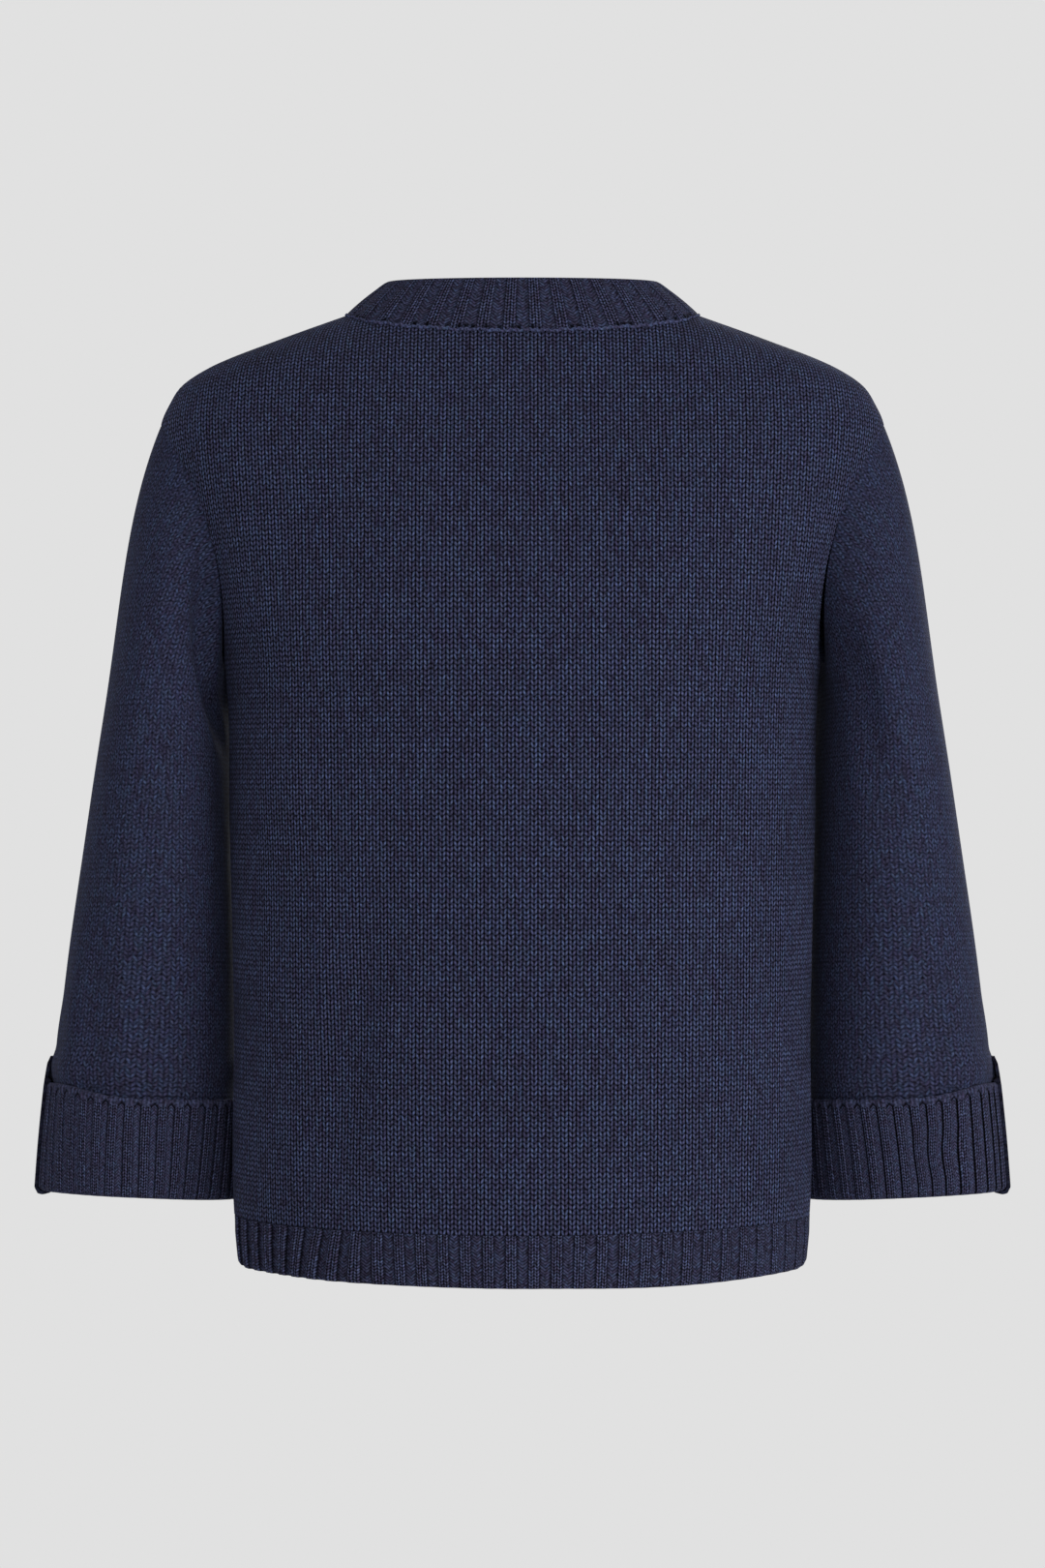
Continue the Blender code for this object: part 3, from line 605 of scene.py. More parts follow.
def stocking_stitch(wales, courses, slant=LEG_SLANT, groove_floor=0.3):
    """Each stitch is a V: two plump legs that climb outwards from the middle of the wale."""
    from_leg = abs(wales.fract() - 0.5) * 2 - 0.5
    legs = []
    for step in (-1, 0, 1):
        along = courses.fract() - 0.5 + step
        aside = (from_leg - along * slant) / LEG_WIDTH
        along = along / LEG_LENGTH
        legs.append(1 - (aside * aside + along * along))
    highest = legs[0].at_least(legs[1]).at_least(legs[2]).at_least(0)
    # The groove between wales is lower, for the bump and also as painted shade in the colour.
    groove = (0.5 - from_leg).smooth(0.0, 0.3) * (1 - groove_floor) + groove_floor
    return highest ** 1.25 * groove, courses - from_leg / slant


def purl_side(wales, courses):
    """The inside of the cloth: rows of small arches."""
    phase = work_out("SINE", wales * (2 * math.pi)) * 0.22 + courses
    return 1 - abs(phase.fract() * 2 - 1) ** 2.0, phase


stocking = knit_look("navy_stocking_stitch", stocking_stitch, 0.3 * MM, 1.03, 0.65)
purl = knit_look("navy_purl_side", purl_side, 0.3 * MM, 0.6)

outer, inner, stitches, keep = panel_cloth(1, 0.0, 0)
back = cloth_wall("back_knit", outer, inner, stitches, (stocking, purl), keep)
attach(back, "root")
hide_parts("back")


# The fronts: two panels in the same stocking stitch, each from its front band round to the side.
# The wearer's right one stands out near the middle, because its band lies over the left band.
for name, hand in (("left", 1), ("right", -1)):
    outer, inner, stitches, keep = panel_cloth(-1, BAND_HALF_WIDTH + SEAM, hand)
    front = cloth_wall(f"front_{name}_knit", outer, inner, stitches, (stocking, purl), keep)
    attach(front, "root")
    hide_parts(f"front_{name}")


# The sleeves: tubes of stocking stitch in the same yarn, sewn into the armholes, that end under the
# turned-up cuffs. Their wales run up from the end to the seam; the courses are level above the cuff.
SLEEVE_END = -503 * MM
SLEEVE_TOP_RING = -230 * MM     # above this level the cloth spreads to the armhole
SLEEVE_ROUNDNESS = 2.2
SLEEVE_WALES = 84
SLACK_SLANT = 0.58
SLACK_RAISE = 0.4               # the sleeves' wales stand up less than the body's, by this much
CUFF_TOP = -459 * MM
CUFF_TILT_IN = 0.025            # the sleeve's end is lower towards the body
CUFF_TILT_FRONT = 0.07          # and towards the front
CAP_LEAVE = {"outer": 0.19, "inner": 0.05, "sides": 0.32, "depth": 0.25}
SLEEVE = (
    ("height", "outer_x", "inner_x", "middle_y", "half_depth"),
    (-230.0, 246.0, 177.2, -8.0, 69.5),
    (-260.0, 250.9, 176.0, -11.0, 68.0),
    (-320.0, 260.3, 174.0, -18.0, 65.0),
    (-380.0, 270.0, 172.2, -27.0, 62.0),
    (-440.0, 278.3, 171.6, -36.0, 59.5),
    (-490.0, 284.3, 172.2, -41.0, 57.5),
    (-530.0, 287.6, 172.8, -43.0, 57.0),
)
# Soft folds of the sleeves, part 1 the left one. Across is the turn in degrees: 0 outermost, 90 behind
# and 180 beside the body.
SLEEVE_FOLDS = (
    ("part", "across", "lean", "low", "high", "half_width", "depth"),
    (1, 62, -6, -505, -330, 13, -2.4),
    (1, 40, -4, -500, -340, 12, 1.4),
    (1, 126, -54, -272, -108, 11, -9.0),
    (1, 158, -50, -255, -125, 9, 3.0),
    (1, 96, -50, -262, -115, 13, 3.0),
    (1, 205, 0, -330, -170, 22, 4.0),
    (1, 250, -18, -340, -150, 16, -2.6),
    (1, 300, 8, -505, -330, 15, -2.0),
    (-1, 112, 20, -330, -150, 15, -2.8),
    (-1, 84, 16, -310, -150, 14, 1.5),
    (-1, 75, 5, -505, -360, 12, -1.8),
    (-1, 52, 4, -500, -350, 14, 1.4),
    (-1, 205, 0, -330, -170, 22, 4.0),
    (-1, 245, -20, -340, -160, 16, -2.4),
    (-1, 290, 8, -505, -350, 14, -2.0),
)
# Fullness of the sleeve above the cuff in mm: the height above the cuff's top edge and how far it
# spreads, the share of the way round over which it fades from the outermost line, and its size
OUTER_FULLNESS = ((110, 170, 0.2, 1.0), (30, 30, 0.12, 1.2))
UNDER_TAB = ((2.6, 5.4, 9, 14, 18, 24), (0, 4.0, 3.8, 3.3, 2.0, 0))    # heights and fullness in mm


def slack_stitch(wales, courses):
    """The same stitch on the sleeves: its legs lie flatter there, and its grooves are softer."""
    height, phase = stocking_stitch(wales, courses, SLACK_SLANT, 0.6)
    return height * 0.42 + 0.21, phase


slack_stocking = knit_look("navy_slack_stocking_stitch", slack_stitch, 0.2 * MM, 1.0, 0.55)


def sleeve_ring(height, turn):
    """Points of the left sleeve's level sections and their level outward directions.
    turn is 0 outermost, a quarter at the back and a half nearest the body."""
    outer_x, inner_x, middle_y, half_depth = (smooth_table(SLEEVE, name, height)
                                              for name in SLEEVE[0][1:])
    half_width = (outer_x - inner_x) / 2
    c, s = np.cos(turn), np.sin(turn)
    x_share = np.sign(c) * np.abs(c) ** (2 / SLEEVE_ROUNDNESS)
    y_share = np.sign(s) * np.abs(s) ** (2 / SLEEVE_ROUNDNESS)
    dx, dy = half_width * x_share, half_depth * y_share
    out = joined(np.sign(c) * np.abs(x_share) ** (SLEEVE_ROUNDNESS - 1) / half_width,
                 np.sign(s) * np.abs(y_share) ** (SLEEVE_ROUNDNESS - 1) / half_depth, 0)
    sag = np.clip((SLEEVE_TOP_RING - height) / (SLEEVE_TOP_RING - CUFF_TOP), 0, 1)
    tilt = sag * (CUFF_TILT_IN * dx + CUFF_TILT_FRONT * dy)
    return joined((outer_x + inner_x) / 2 + dx, middle_y + dy, height + tilt), unit(out)


def ring_turns(height, shares):
    """Turns at shares of a ring's length, starting outermost."""
    fine = np.linspace(0, 2 * math.pi, 1441)
    lengths = running_length(sleeve_ring(np.full(fine.shape, height), fine)[0], 0)
    return np.interp((shares % 1) * lengths[-1], lengths, fine)


def sleeve_form(shares):
    """Points up the left sleeve's form, from its end to the armhole seam, at shares of the way round."""
    turns = ring_turns(SLEEVE_TOP_RING, shares)
    around = shares % 1
    climb = math.pi * np.abs(1 - 2 * around)
    height = (ARMHOLE_TOP + UNDERARM) / 2 - (ARMHOLE_TOP - UNDERARM) / 2 * np.cos(climb)
    y = ARMHOLE_HALF_DEPTH * np.sin(climb)
    starts = []
    for side in (1, -1):
        half_width, depth, power = body_section(height, side)
        starts.append(joined(half_width * (1 - (y / depth) ** power) ** (1 / power), side * y, height))
    start = np.where((around <= 0.5)[:, None], *starts)

    ring = np.full(turns.shape, SLEEVE_TOP_RING)
    end, lower = sleeve_ring(ring, turns)[0], sleeve_ring(ring - MM, turns)[0]
    reach = np.linalg.norm(end - start, axis=-1, keepdims=True)
    c, s = np.cos(turns), np.sin(turns)
    lean = CAP_LEAVE["outer"] * (1 + c) + CAP_LEAVE["inner"] * (1 - c) + CAP_LEAVE["sides"] * s * s
    aside = CAP_LEAVE["depth"] * s
    leave = joined(lean, aside, -np.sqrt(1 - lean ** 2 - aside ** 2))
    t = np.linspace(1, 0, 90)[1:, None, None]
    cap = ((1 + 2 * t) * (1 - t) ** 2 * start + t * (1 - t) ** 2 * reach * leave
           + t * t * (3 - 2 * t) * end + t * t * (t - 1) * reach * unit(lower - end))
    heights, ring_turn = np.meshgrid(np.linspace(SLEEVE_END, SLEEVE_TOP_RING, 110), turns, indexing="ij")
    return np.concatenate((sleeve_ring(heights, ring_turn)[0], cap))


def cuff_ease(shares, up, hand):
    """The sleeve is a little full just above the cuff's top edge, more in some places than others."""
    turn = 2 * math.pi * shares
    above = up - (CUFF_TOP - SLEEVE_END)
    uneven = 0.75 + 0.25 * np.sin(3 * turn + hand) * np.sin(2 * turn + 0.6)
    if hand > 0:
        uneven = uneven + 0.5 * bump((turn - math.radians(430)) / 0.8)
    full = 2.4 * MM * uneven * bump((above - 13 * MM) / (13 * MM))
    outwards = sum(size * MM * bump((above - middle * MM) / (reach * MM)) * bump((shares - 1) / fade)
                   for middle, reach, fade, size in OUTER_FULLNESS)
    under_tab = np.interp(above / MM, *UNDER_TAB) * MM * bump((shares - 1) / 0.06)
    return np.maximum(full, under_tab) + outwards * (above > 3 * MM)


def sleeve_cloth(hand):
    """The sleeve's two faces, its stitch numbers and the cells that belong to it."""
    columns = SLEEVE_WALES * WALE_STEPS + 1
    shares = 0.5 + np.arange(columns) / (columns - 1)
    form = sleeve_form(shares)
    climbed = running_length(form, 0)
    total = climbed[-1]
    around = np.roll(form[:, :-1], -1, axis=1) - np.roll(form[:, :-1], 1, axis=1)
    around = np.concatenate((around, around[:, :1]), axis=1)
    out = unit(np.cross(around, np.gradient(form, axis=0)))
    rows = np.arange(math.ceil(total.max() / COURSE) + 1)[:, None]
    up = np.minimum(rows * COURSE, total)
    base, out, sideways = (np.stack([read_along(up[:, k], climbed[:, k], values[:, k])
                                     for k in range(columns)], axis=1)
                           for values in (form, out, unit(around)))
    out = unit(out)

    held = total - up
    calm = np.clip(held / (15 * MM), 0, 1) * np.sin(math.pi * (shares - 0.5)) ** 0.5
    drift = wander(shares * 0.36 + hand, up, 0.4 * MM) * calm
    turn = np.degrees(ring_turns(SLEEVE_TOP_RING, shares))
    fold = folds(SLEEVE_FOLDS, hand, turn, base[..., 2]) * (1 - bump(held / (11 * MM)))
    flip = np.array((hand, 1, 1))
    fold = fold + cuff_ease(shares, up, hand) + seam_roll(held, base * flip)
    wales = shares * SLEEVE_WALES
    ridge = SLACK_RAISE * wale_raise(wales) * (1 - bump(held / (2 * MM)))
    outer = base + sideways * drift[..., None] + out * (fold + ridge)[..., None]
    inner = base + out * (fold - WALL)[..., None]
    return outer * flip, inner * flip, joined(wales, up / COURSE), touched(rows * COURSE < total)


for name, hand in (("left", 1), ("right", -1)):
    outer, inner, stitches, keep = sleeve_cloth(hand)
    sleeve = cloth_wall(f"sleeve_{name}_knit", outer, inner, stitches, (slack_stocking, purl), keep,
                        around=True)
    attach(sleeve, "root")
    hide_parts(f"sleeve_{name}")


# The hem band: 2 by 2 rib in the same yarn, worked down from the back and the fronts.
# Two plump wales stand side by side, then two lie back as a gutter with slanted bars.
RIB_COURSE = 1.8 * MM
RIB_PITCH = 12.6 * MM
RIB_COLUMNS = 16                # columns of points to a rib and its gutter
RIB_TONE = (1.03, 0.975, 0.94)  # the ribs look a little greyer than the plain cloth
RIB_GRAIN = 0.62
HEM_LEAN = 4 * MM               # how far the ribs lean outwards near the sides, over the hem's height
HEM_PULL = (6.5, 118, 44)       # in mm: how much more they lean at one place behind, where, how far round
HEM_DRAWN_IN = (134, 70)        # in mm: where the ribs behind are drawn together, how far round
HEM_WAVES = ((0.7, 150, 40), (-1.3, -84, 75))   # in mm: how far the edge behind rises, where, how far
HEM_CORNER_RISE = 2.2 * MM


def rib_raise(ribs, rib_share=0.5):
    """How far the cloth stands up across 2 by 2 ribs; each rib's middle is at a half."""
    away = np.abs(ribs - np.floor(ribs) - 0.5)
    return RIB_RAISE * (1 - ease((away - rib_share / 2 + 0.09) / 0.15) - 0.25 * bump(away / 0.07))


def rib_stitches(ribs, rib_share=0.5):
    """Stitch numbers across 2 by 2 ribs, two to each rib and two to each gutter."""
    from_middle = ribs - np.floor(ribs) - 0.5
    half = rib_share / 2
    away = np.abs(from_middle)
    number = np.where(away < half, away / half, 1 + (away - half) / (0.5 - half))
    return np.floor(ribs) * 4 + 2 + np.sign(from_middle) * number


def rib_stitch(wales, courses, line=0.2, other_side_shade=0.2, gutter_painted_light=0.6, shade_line_width=0.45):
    """Knit stitches on the ribs; slanted bars in the gutters, which are painted darker as shade, darkest
    along a line of painted shade beside each rib.
    """
    knit, phase = stocking_stitch(wales, courses, groove_floor=0.6)
    place = (wales * 0.25).fract() * 4
    from_rib = abs(place - 2)
    in_gutter = from_rib > 1
    bar_phase = from_rib * 1.3 + courses
    bars = 1 - abs(bar_phase.fract() * 2 - 1) ** 2.0
    # Painted shade: the gutter is painted darker than the rib, darkest in a line along the rib's flank, and
    # this line may be darker on one side of the rib than the other.
    least = (place > 2) * (line - other_side_shade) + other_side_shade
    shade = from_rib.smooth(0.7 + 0.67 * shade_line_width, 1 + shade_line_width) * (gutter_painted_light - least) + least
    gutter = (bars * 0.9 + 0.1) * shade
    return tuple(low * (1 - in_gutter) + high * in_gutter
                 for low, high in ((knit, gutter), (phase, bar_phase)))


def rib_look(name, pattern, strength, uneven):
    return knit_look(name, pattern, 0.25 * MM, strength, uneven, RIB_GRAIN, RIB_TONE)


ribbed = rib_look("navy_rib_outside", rib_stitch, 1.02, 0.8)
ribbed_inside = rib_look("navy_rib_inside", rib_stitch, 0.8, 0.8)


def hem_cloth(side, start_x, hand):
    """A hem piece's two faces and its stitch numbers; hand as for the panels."""
    form = body_map(side, start_x)
    low_length = np.interp(HEM_BOTTOM, form["heights"], form["length"])
    ribs = round(low_length / RIB_PITCH)
    columns = ribs * RIB_COLUMNS
    shares = np.arange(-columns if hand == 0 else 0, columns + 1) / columns
    top = HEM_TOP - SEAM
    rows = round((top - HEM_BOTTOM) / RIB_COURSE)
    height, share = np.meshgrid(np.linspace(HEM_BOTTOM, top, rows + 1), shares, indexing="ij")
    length = np.interp(height, form["heights"], form["length"])
    low = (top - height) / (top - HEM_BOTTOM)
    pull, middle, reach = np.array(HEM_PULL) * MM
    lean = HEM_LEAN * np.sin(math.pi * share ** 3) + pull * bump((share * length - middle) / reach)
    base = map_point(form, share * length + lean * low, height)
    if hand != 0:
        base[..., 0] = np.abs(base[..., 0]) * hand
    from_side = (1 - np.abs(share)) * length
    base[..., 2] += HEM_CORNER_RISE * bump(from_side / (34 * MM)) * low ** 2
    x = base[..., 0] / MM
    drawn_in = 0 * share
    if side > 0:
        drawn_in = bump((x - HEM_DRAWN_IN[0]) / HEM_DRAWN_IN[1])
        base[..., 2] += sum(rise * bump((x - middle) / reach) for rise, middle, reach in HEM_WAVES) * MM * low
    out = unit(body_out(base, side) * (1, 1, 0))
    ribbing = share * ribs
    rib_share = 0.5 + 0.12 * drawn_in
    edge = bump((height - HEM_BOTTOM) / (2.2 * MM))
    beside = bump(from_side / (26 * MM))
    raised = rib_raise(ribbing, rib_share) * (0.7 + 1.7 * drawn_in) * (1 - 0.4 * edge) * (1 - 0.8 * beside)
    raised = raised - 0.5 * MM * (edge + beside + bump(low / 0.4))
    fold = folds(BODY_FOLDS, side, x, base[..., 2])
    lifted = base + (lap_lift(base) if hand < 0 else 0)
    outer = lifted + out * (raised + fold)[..., None]
    inner = lifted + out * (fold - WALL)[..., None]
    return outer, inner, joined(rib_stitches(ribbing, rib_share), (height - HEM_BOTTOM) / RIB_COURSE)


for name, side, start_x, hand, width in (("back", 1, 0.0, 0, 0.466),
                                         ("front_left", -1, BAND_HALF_WIDTH + SEAM, 1, 0.217),
                                         ("front_right", -1, BAND_HALF_WIDTH + SEAM, -1, 0.217)):
    outer, inner, stitches = hem_cloth(side, start_x, hand)
    hem = cloth_wall(f"hem_{name}_rib", outer, inner, stitches, (ribbed, ribbed_inside))
    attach(hem, "root")
    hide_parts(f"hem_{name}")


# The neckband: 2 by 2 rib linked on to the neckline, leaning in to the neck.
# Its ribs fan out towards the shoulders.
NECKBAND_TOP_HALF_WIDTH = 80 * MM
NECKBAND_LEAN = {1: 0.855, -1: 0.8875}     # depth of its top edge over its depth at the seam
NECKBAND_RISE = {1: 31.6 * MM, -1: 31 * MM}
NECKBAND_SIDE_RISE = 18.3 * MM
NECKBAND_RISE_POWER = {1: 1.05, -1: 2}     # how soon it drops towards the neck points
NECKBAND_BOW = 0.8 * MM
NECKBAND_RIBS = 36


def neck_edges(shares):
    """The neckline and the band's top edge at shares of the way from the left front round the back."""
    low, high = np.zeros((2, len(shares), 3))
    quarter = np.minimum((shares * 4).astype(int), 3)
    for number, (side, hand, outwards) in enumerate(((-1, 1, True), (1, 1, False),
                                                     (1, -1, True), (-1, -1, False))):
        def neckline(turn):
            x, height = NECK_HALF_WIDTH * np.sin(turn), -NECK_DROP[side] * np.cos(turn)
            return joined(x, body_y(x, height, side), height)

        first_x = BAND_HALF_WIDTH + SEAM if side < 0 else 0.0
        fine = np.linspace(math.asin(first_x / NECK_HALF_WIDTH), math.pi / 2, 400)
        lengths = running_length(neckline(fine), 0)
        here = quarter == number
        t = shares[here] * 4 - number
        turn = np.interp((t if outwards else 1 - t) * lengths[-1], lengths, fine)
        edge = neckline(turn)
        narrower = (NECKBAND_TOP_HALF_WIDTH - first_x) / (NECK_HALF_WIDTH - first_x)
        share = np.maximum(np.cos(turn), 0) ** NECKBAND_RISE_POWER[side]
        rise = NECKBAND_SIDE_RISE + (NECKBAND_RISE[side] - NECKBAND_SIDE_RISE) * share
        low[here] = edge * (hand, 1, 1)
        high[here] = joined((first_x + (edge[:, 0] - first_x) * narrower) * hand,
                            edge[:, 1] * NECKBAND_LEAN[side], edge[:, 2] + rise)
    return low, high


def neckband_cloth():
    columns = NECKBAND_RIBS * RIB_COLUMNS
    shares = np.arange(columns + 1) / columns
    low, high = neck_edges(shares)
    v = np.linspace(0, 1, round(NECKBAND_RISE[1] / RIB_COURSE) + 1)[:, None, None]
    base = low + (high - low) * v
    out = unit(np.cross(np.gradient(base, axis=1), np.gradient(base, axis=0)))
    base = base + out * NECKBAND_BOW * 4 * v * (1 - v)
    base[0] += unit(base[1] - base[0]) * SEAM
    length = NECKBAND_RISE[1] * v[..., 0]
    top_edge = bump((NECKBAND_RISE[1] - length) / (2.4 * MM))
    ribbing = shares * NECKBAND_RIBS
    stretched = bump(np.abs(base[..., 0]) / NECK_HALF_WIDTH / 1.6)
    raised = rib_raise(ribbing) * (0.3 + 0.5 * stretched) * (1 - 0.8 * bump(length / (2 * MM)))
    raised = raised * (1 - top_edge) + 0.3 * RIB_RAISE * top_edge
    lifted = base + lap_lift(base)
    outer = lifted + out * raised[..., None]
    inner = lifted - out * WALL
    for end, hand in ((0, 1), (-1, -1)):
        outer[:, end, 0] = inner[:, end, 0] = hand * (BAND_HALF_WIDTH + SEAM)
    return outer, inner, joined(rib_stitches(ribbing), length / RIB_COURSE)


def neck_rib_stitch(wales, courses):
    """The same rib, with small uneven holes just above the seam where its loops are linked; the holes are
    lower in the bump and painted dark as shade.
    """
    height, phase = rib_stitch(wales, courses, 0.4, 0.4)
    spot = white_noise(pair(wales.floor(), 0.0), "Value")
    hole = spot.smooth(0.55, 0.75) * (1 - abs(wales.fract() - 0.5).smooth(0.2, 0.42))
    level = courses.smooth(0.3, 0.8) * (1 - courses.smooth(1.5, 2.1))
    return height * (1 - hole * level * 0.9), phase


neck_ribbed = rib_look("navy_neck_rib", neck_rib_stitch, 1.0, 0.6)

outer, inner, stitches = neckband_cloth()
neckband = cloth_wall("neckband_rib", outer, inner, stitches, (neck_ribbed, ribbed_inside))
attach(neckband, "root")
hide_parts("neckband")


# The linking: a chain of the same yarn that joins the neckband to the neckline, seen as a thin
# uneven ridge along the seam.
LINK_LENGTH = 3.6 * MM
LINK_RADIUS = 1.1 * MM
LINK_COLUMNS = 6
LINK_SIDES = 8


def link_pattern(wales, courses):
    """Loops that lean one into the next."""
    phase = courses * 0.5 + wales
    return (1 - abs(phase.fract() * 2 - 1) ** 2.5) * 0.5 + 0.12, phase


link_yarn = knit_look("navy_linking_yarn", link_pattern, 0.2 * MM, 1.6)

low, high = neck_edges(np.linspace(0, 1, 1200))
lengths = running_length(low, 0)
count = round(lengths[-1] / LINK_LENGTH) * LINK_COLUMNS
at = np.linspace(0, lengths[-1], count + 1)
line = read_along(at, lengths, low)
rise = unit(read_along(at, lengths, high - low))
out = unit(np.cross(np.gradient(line, axis=0), rise))
links = at / LINK_LENGTH
zigzag = 0.1 * MM + 0.35 * MM * np.sin(2.4 * links) + 0.25 * MM * np.sin(0.83 * links + 1)
line = line + lap_lift(line) + rise * zigzag[:, None] + out * 0.5 * MM
size = LINK_RADIUS * (0.72 + 0.42 * np.abs(np.sin(math.pi * links)) + 0.12 * np.sin(1.7 * links + 0.5))
size *= 1 - 0.4 * bump((np.abs(line[:, 0]) - NECK_HALF_WIDTH) / (22 * MM))
size[[0, -1]] = 0
angle = np.linspace(0, 2 * math.pi, LINK_SIDES + 1)[:, None, None]
cord = line + size[:, None] * (np.cos(angle) * out + np.sin(angle) * rise * 0.9)

link_work = bmesh.new()
bmesh.ops.create_grid(link_work, x_segments=count, y_segments=LINK_SIDES, size=1)
for vert, point in zip(link_work.verts, cord.reshape(-1, 3)):
    vert.co = point
link_uv = link_work.loops.layers.uv.new("stitches")
for face in link_work.faces:
    for loop in face.loops:
        row, column = divmod(loop.vert.index, count + 1)
        loop[link_uv].uv = (links[column], row / LINK_SIDES)
bmesh.ops.remove_doubles(link_work, verts=link_work.verts, dist=1e-6)
bmesh.ops.recalc_face_normals(link_work, faces=link_work.faces)
linking = piece_of(mesh_of(link_work, "neck_linking"), [link_yarn])
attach(linking, "root")


# The front bands: two strips of the same rib from the hem to the top of the neckband.
# The wearer's right one lies over the left one, and the buttons stand on it.
BAND_RIBS = 3
BAND_COLUMNS = 12               # columns of points to a rib and its gutter


def band_line(count):
    """Points up the middle of the front, their outward directions and the line's length."""
    heights = np.linspace(HEM_BOTTOM, -NECK_DROP[-1], 300)
    body = joined(0, body_y(np.zeros(300), heights, -1), heights)
    top = body[-1] * (1, NECKBAND_LEAN[-1], 1) + (0, 0, NECKBAND_RISE[-1])
    v = np.linspace(0, 1, 40)[1:, None]
    neck = body[-1] + (top - body[-1]) * v - np.array((0, NECKBAND_BOW, 0)) * 4 * v * (1 - v)
    line = np.concatenate((body, neck))
    lengths = running_length(line, 0)
    points = read_along(np.linspace(0, lengths[-1], count + 1), lengths, line)
    up = np.gradient(points, axis=0)
    return points, unit(joined(0, -up[:, 2], up[:, 1])), lengths[-1]


def band_cloth(lift):
    length = band_line(10)[2]
    rows = round(length / RIB_COURSE)
    line, out, _ = band_line(rows)
    columns = BAND_RIBS * BAND_COLUMNS
    across = np.linspace(-BAND_HALF_WIDTH, BAND_HALF_WIDTH, columns + 1)
    height = np.minimum(line[:, 2], -NECK_DROP[-1])[:, None]
    bow = body_y(across[None, :], height, -1) - body_y(np.zeros((1, 1)), height, -1)
    base = line[:, None, :] + joined(across, bow, 0)
    ribbing = np.linspace(0, BAND_RIBS, columns + 1)
    up = np.linspace(0, length, rows + 1)[:, None]
    ends = bump(np.minimum(up, length - up) / (2.2 * MM))
    raised = rib_raise(ribbing) * (1 - 0.4 * ends) - 0.4 * MM * ends + lift
    outer = base + out[:, None, :] * raised[..., None]
    inner = base + out[:, None, :] * (lift - WALL)
    return outer, inner, joined(rib_stitches(ribbing), up / RIB_COURSE)


for name, lift in (("left", 0.0), ("right", LAP)):
    outer, inner, stitches = band_cloth(lift)
    band = cloth_wall(f"band_{name}_rib", outer, inner, stitches, (ribbed, ribbed_inside))
    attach(band, "root")
    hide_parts(f"band_{name}")


# The cuffs: 2 by 2 rib worked on from the sleeves, turned up over them to more than half of their
# depth. The ribs narrow a little and waver; an even edge closes their gutters at the top.
CUFF_FOLD = -521.5 * MM
CUFF_RIBS = 39
CUFF_COURSE = 1.9 * MM
CUFF_COLUMNS = 12
CUFF_RIB_SHARE = 0.58           # the ribs are drawn together, so their gutters are narrower
CUFF_SPACE = 0.8 * MM
CUFF_ROUND_OUT = 3.0 * MM
CUFF_ROUND_IN = 1.2 * MM
CUFF_FOLD_THICK = 2.8 * MM
CUFF_RADIUS = 57 * MM
CUFF_SINK = 5 * MM              # how far the top edge sinks, apart from where the tab holds it up
CUFF_LIFT = 2.5 * MM
CUFF_DROOP = 2.6 * MM           # how far the fold hangs lower beside the body
CUFF_MORE_ROWS = (0.7, 1.3, 62.8, 64.6)     # in mm from the top edge, where the cloth turns
# Where the ribs lean: the hand, the middle and the reach in degrees, and how far the fold is carried round
CUFF_TWISTS = ((1, 42, 40, 5 * MM), (1, 155, 70, -6.5 * MM), (1, 300, 50, -6 * MM),
               (-1, 150, 85, -7.5 * MM), (-1, 66, 20, 1.5 * MM), (-1, 310, 40, -6 * MM))
CUFF_KINK = (1.5 * MM, 74, 26)  # a short kink in the right cuff's ribs, and where it is in degrees


def cuff_section():
    """Heights and offsets of both faces from the top edge round the fold to the sleeve's end."""
    straight = np.linspace(0, 1, 200)
    bend = np.linspace(0, math.pi, 100)[1:-1]
    middle, half = CUFF_SPACE / 2, WALL + CUFF_SPACE / 2
    end = SLEEVE_END - SEAM
    lines = []
    for low, drop, reach in ((CUFF_FOLD + CUFF_ROUND_OUT, CUFF_ROUND_OUT, half),
                             (CUFF_FOLD + CUFF_FOLD_THICK + CUFF_ROUND_IN, CUFF_ROUND_IN, CUFF_SPACE / 2)):
        lines.append(np.concatenate((joined(CUFF_TOP + (low - CUFF_TOP) * straight, middle + reach),
                                     joined(low - drop * np.sin(bend), middle + reach * np.cos(bend)),
                                     joined(low + (end - low) * straight, middle - reach))))
    shares = np.concatenate((straight, 1 + bend / math.pi, 2 + straight))
    lengths = running_length(lines[0], 0)
    at = np.linspace(0, lengths[-1], round(lengths[-1] / CUFF_COURSE) + 1)
    at = np.sort(np.concatenate((at, np.array(CUFF_MORE_ROWS) * MM)))
    share = np.interp(at, lengths, shares)
    return *(read_along(share, shares, line) for line in lines), at[:, None], share[:, None]


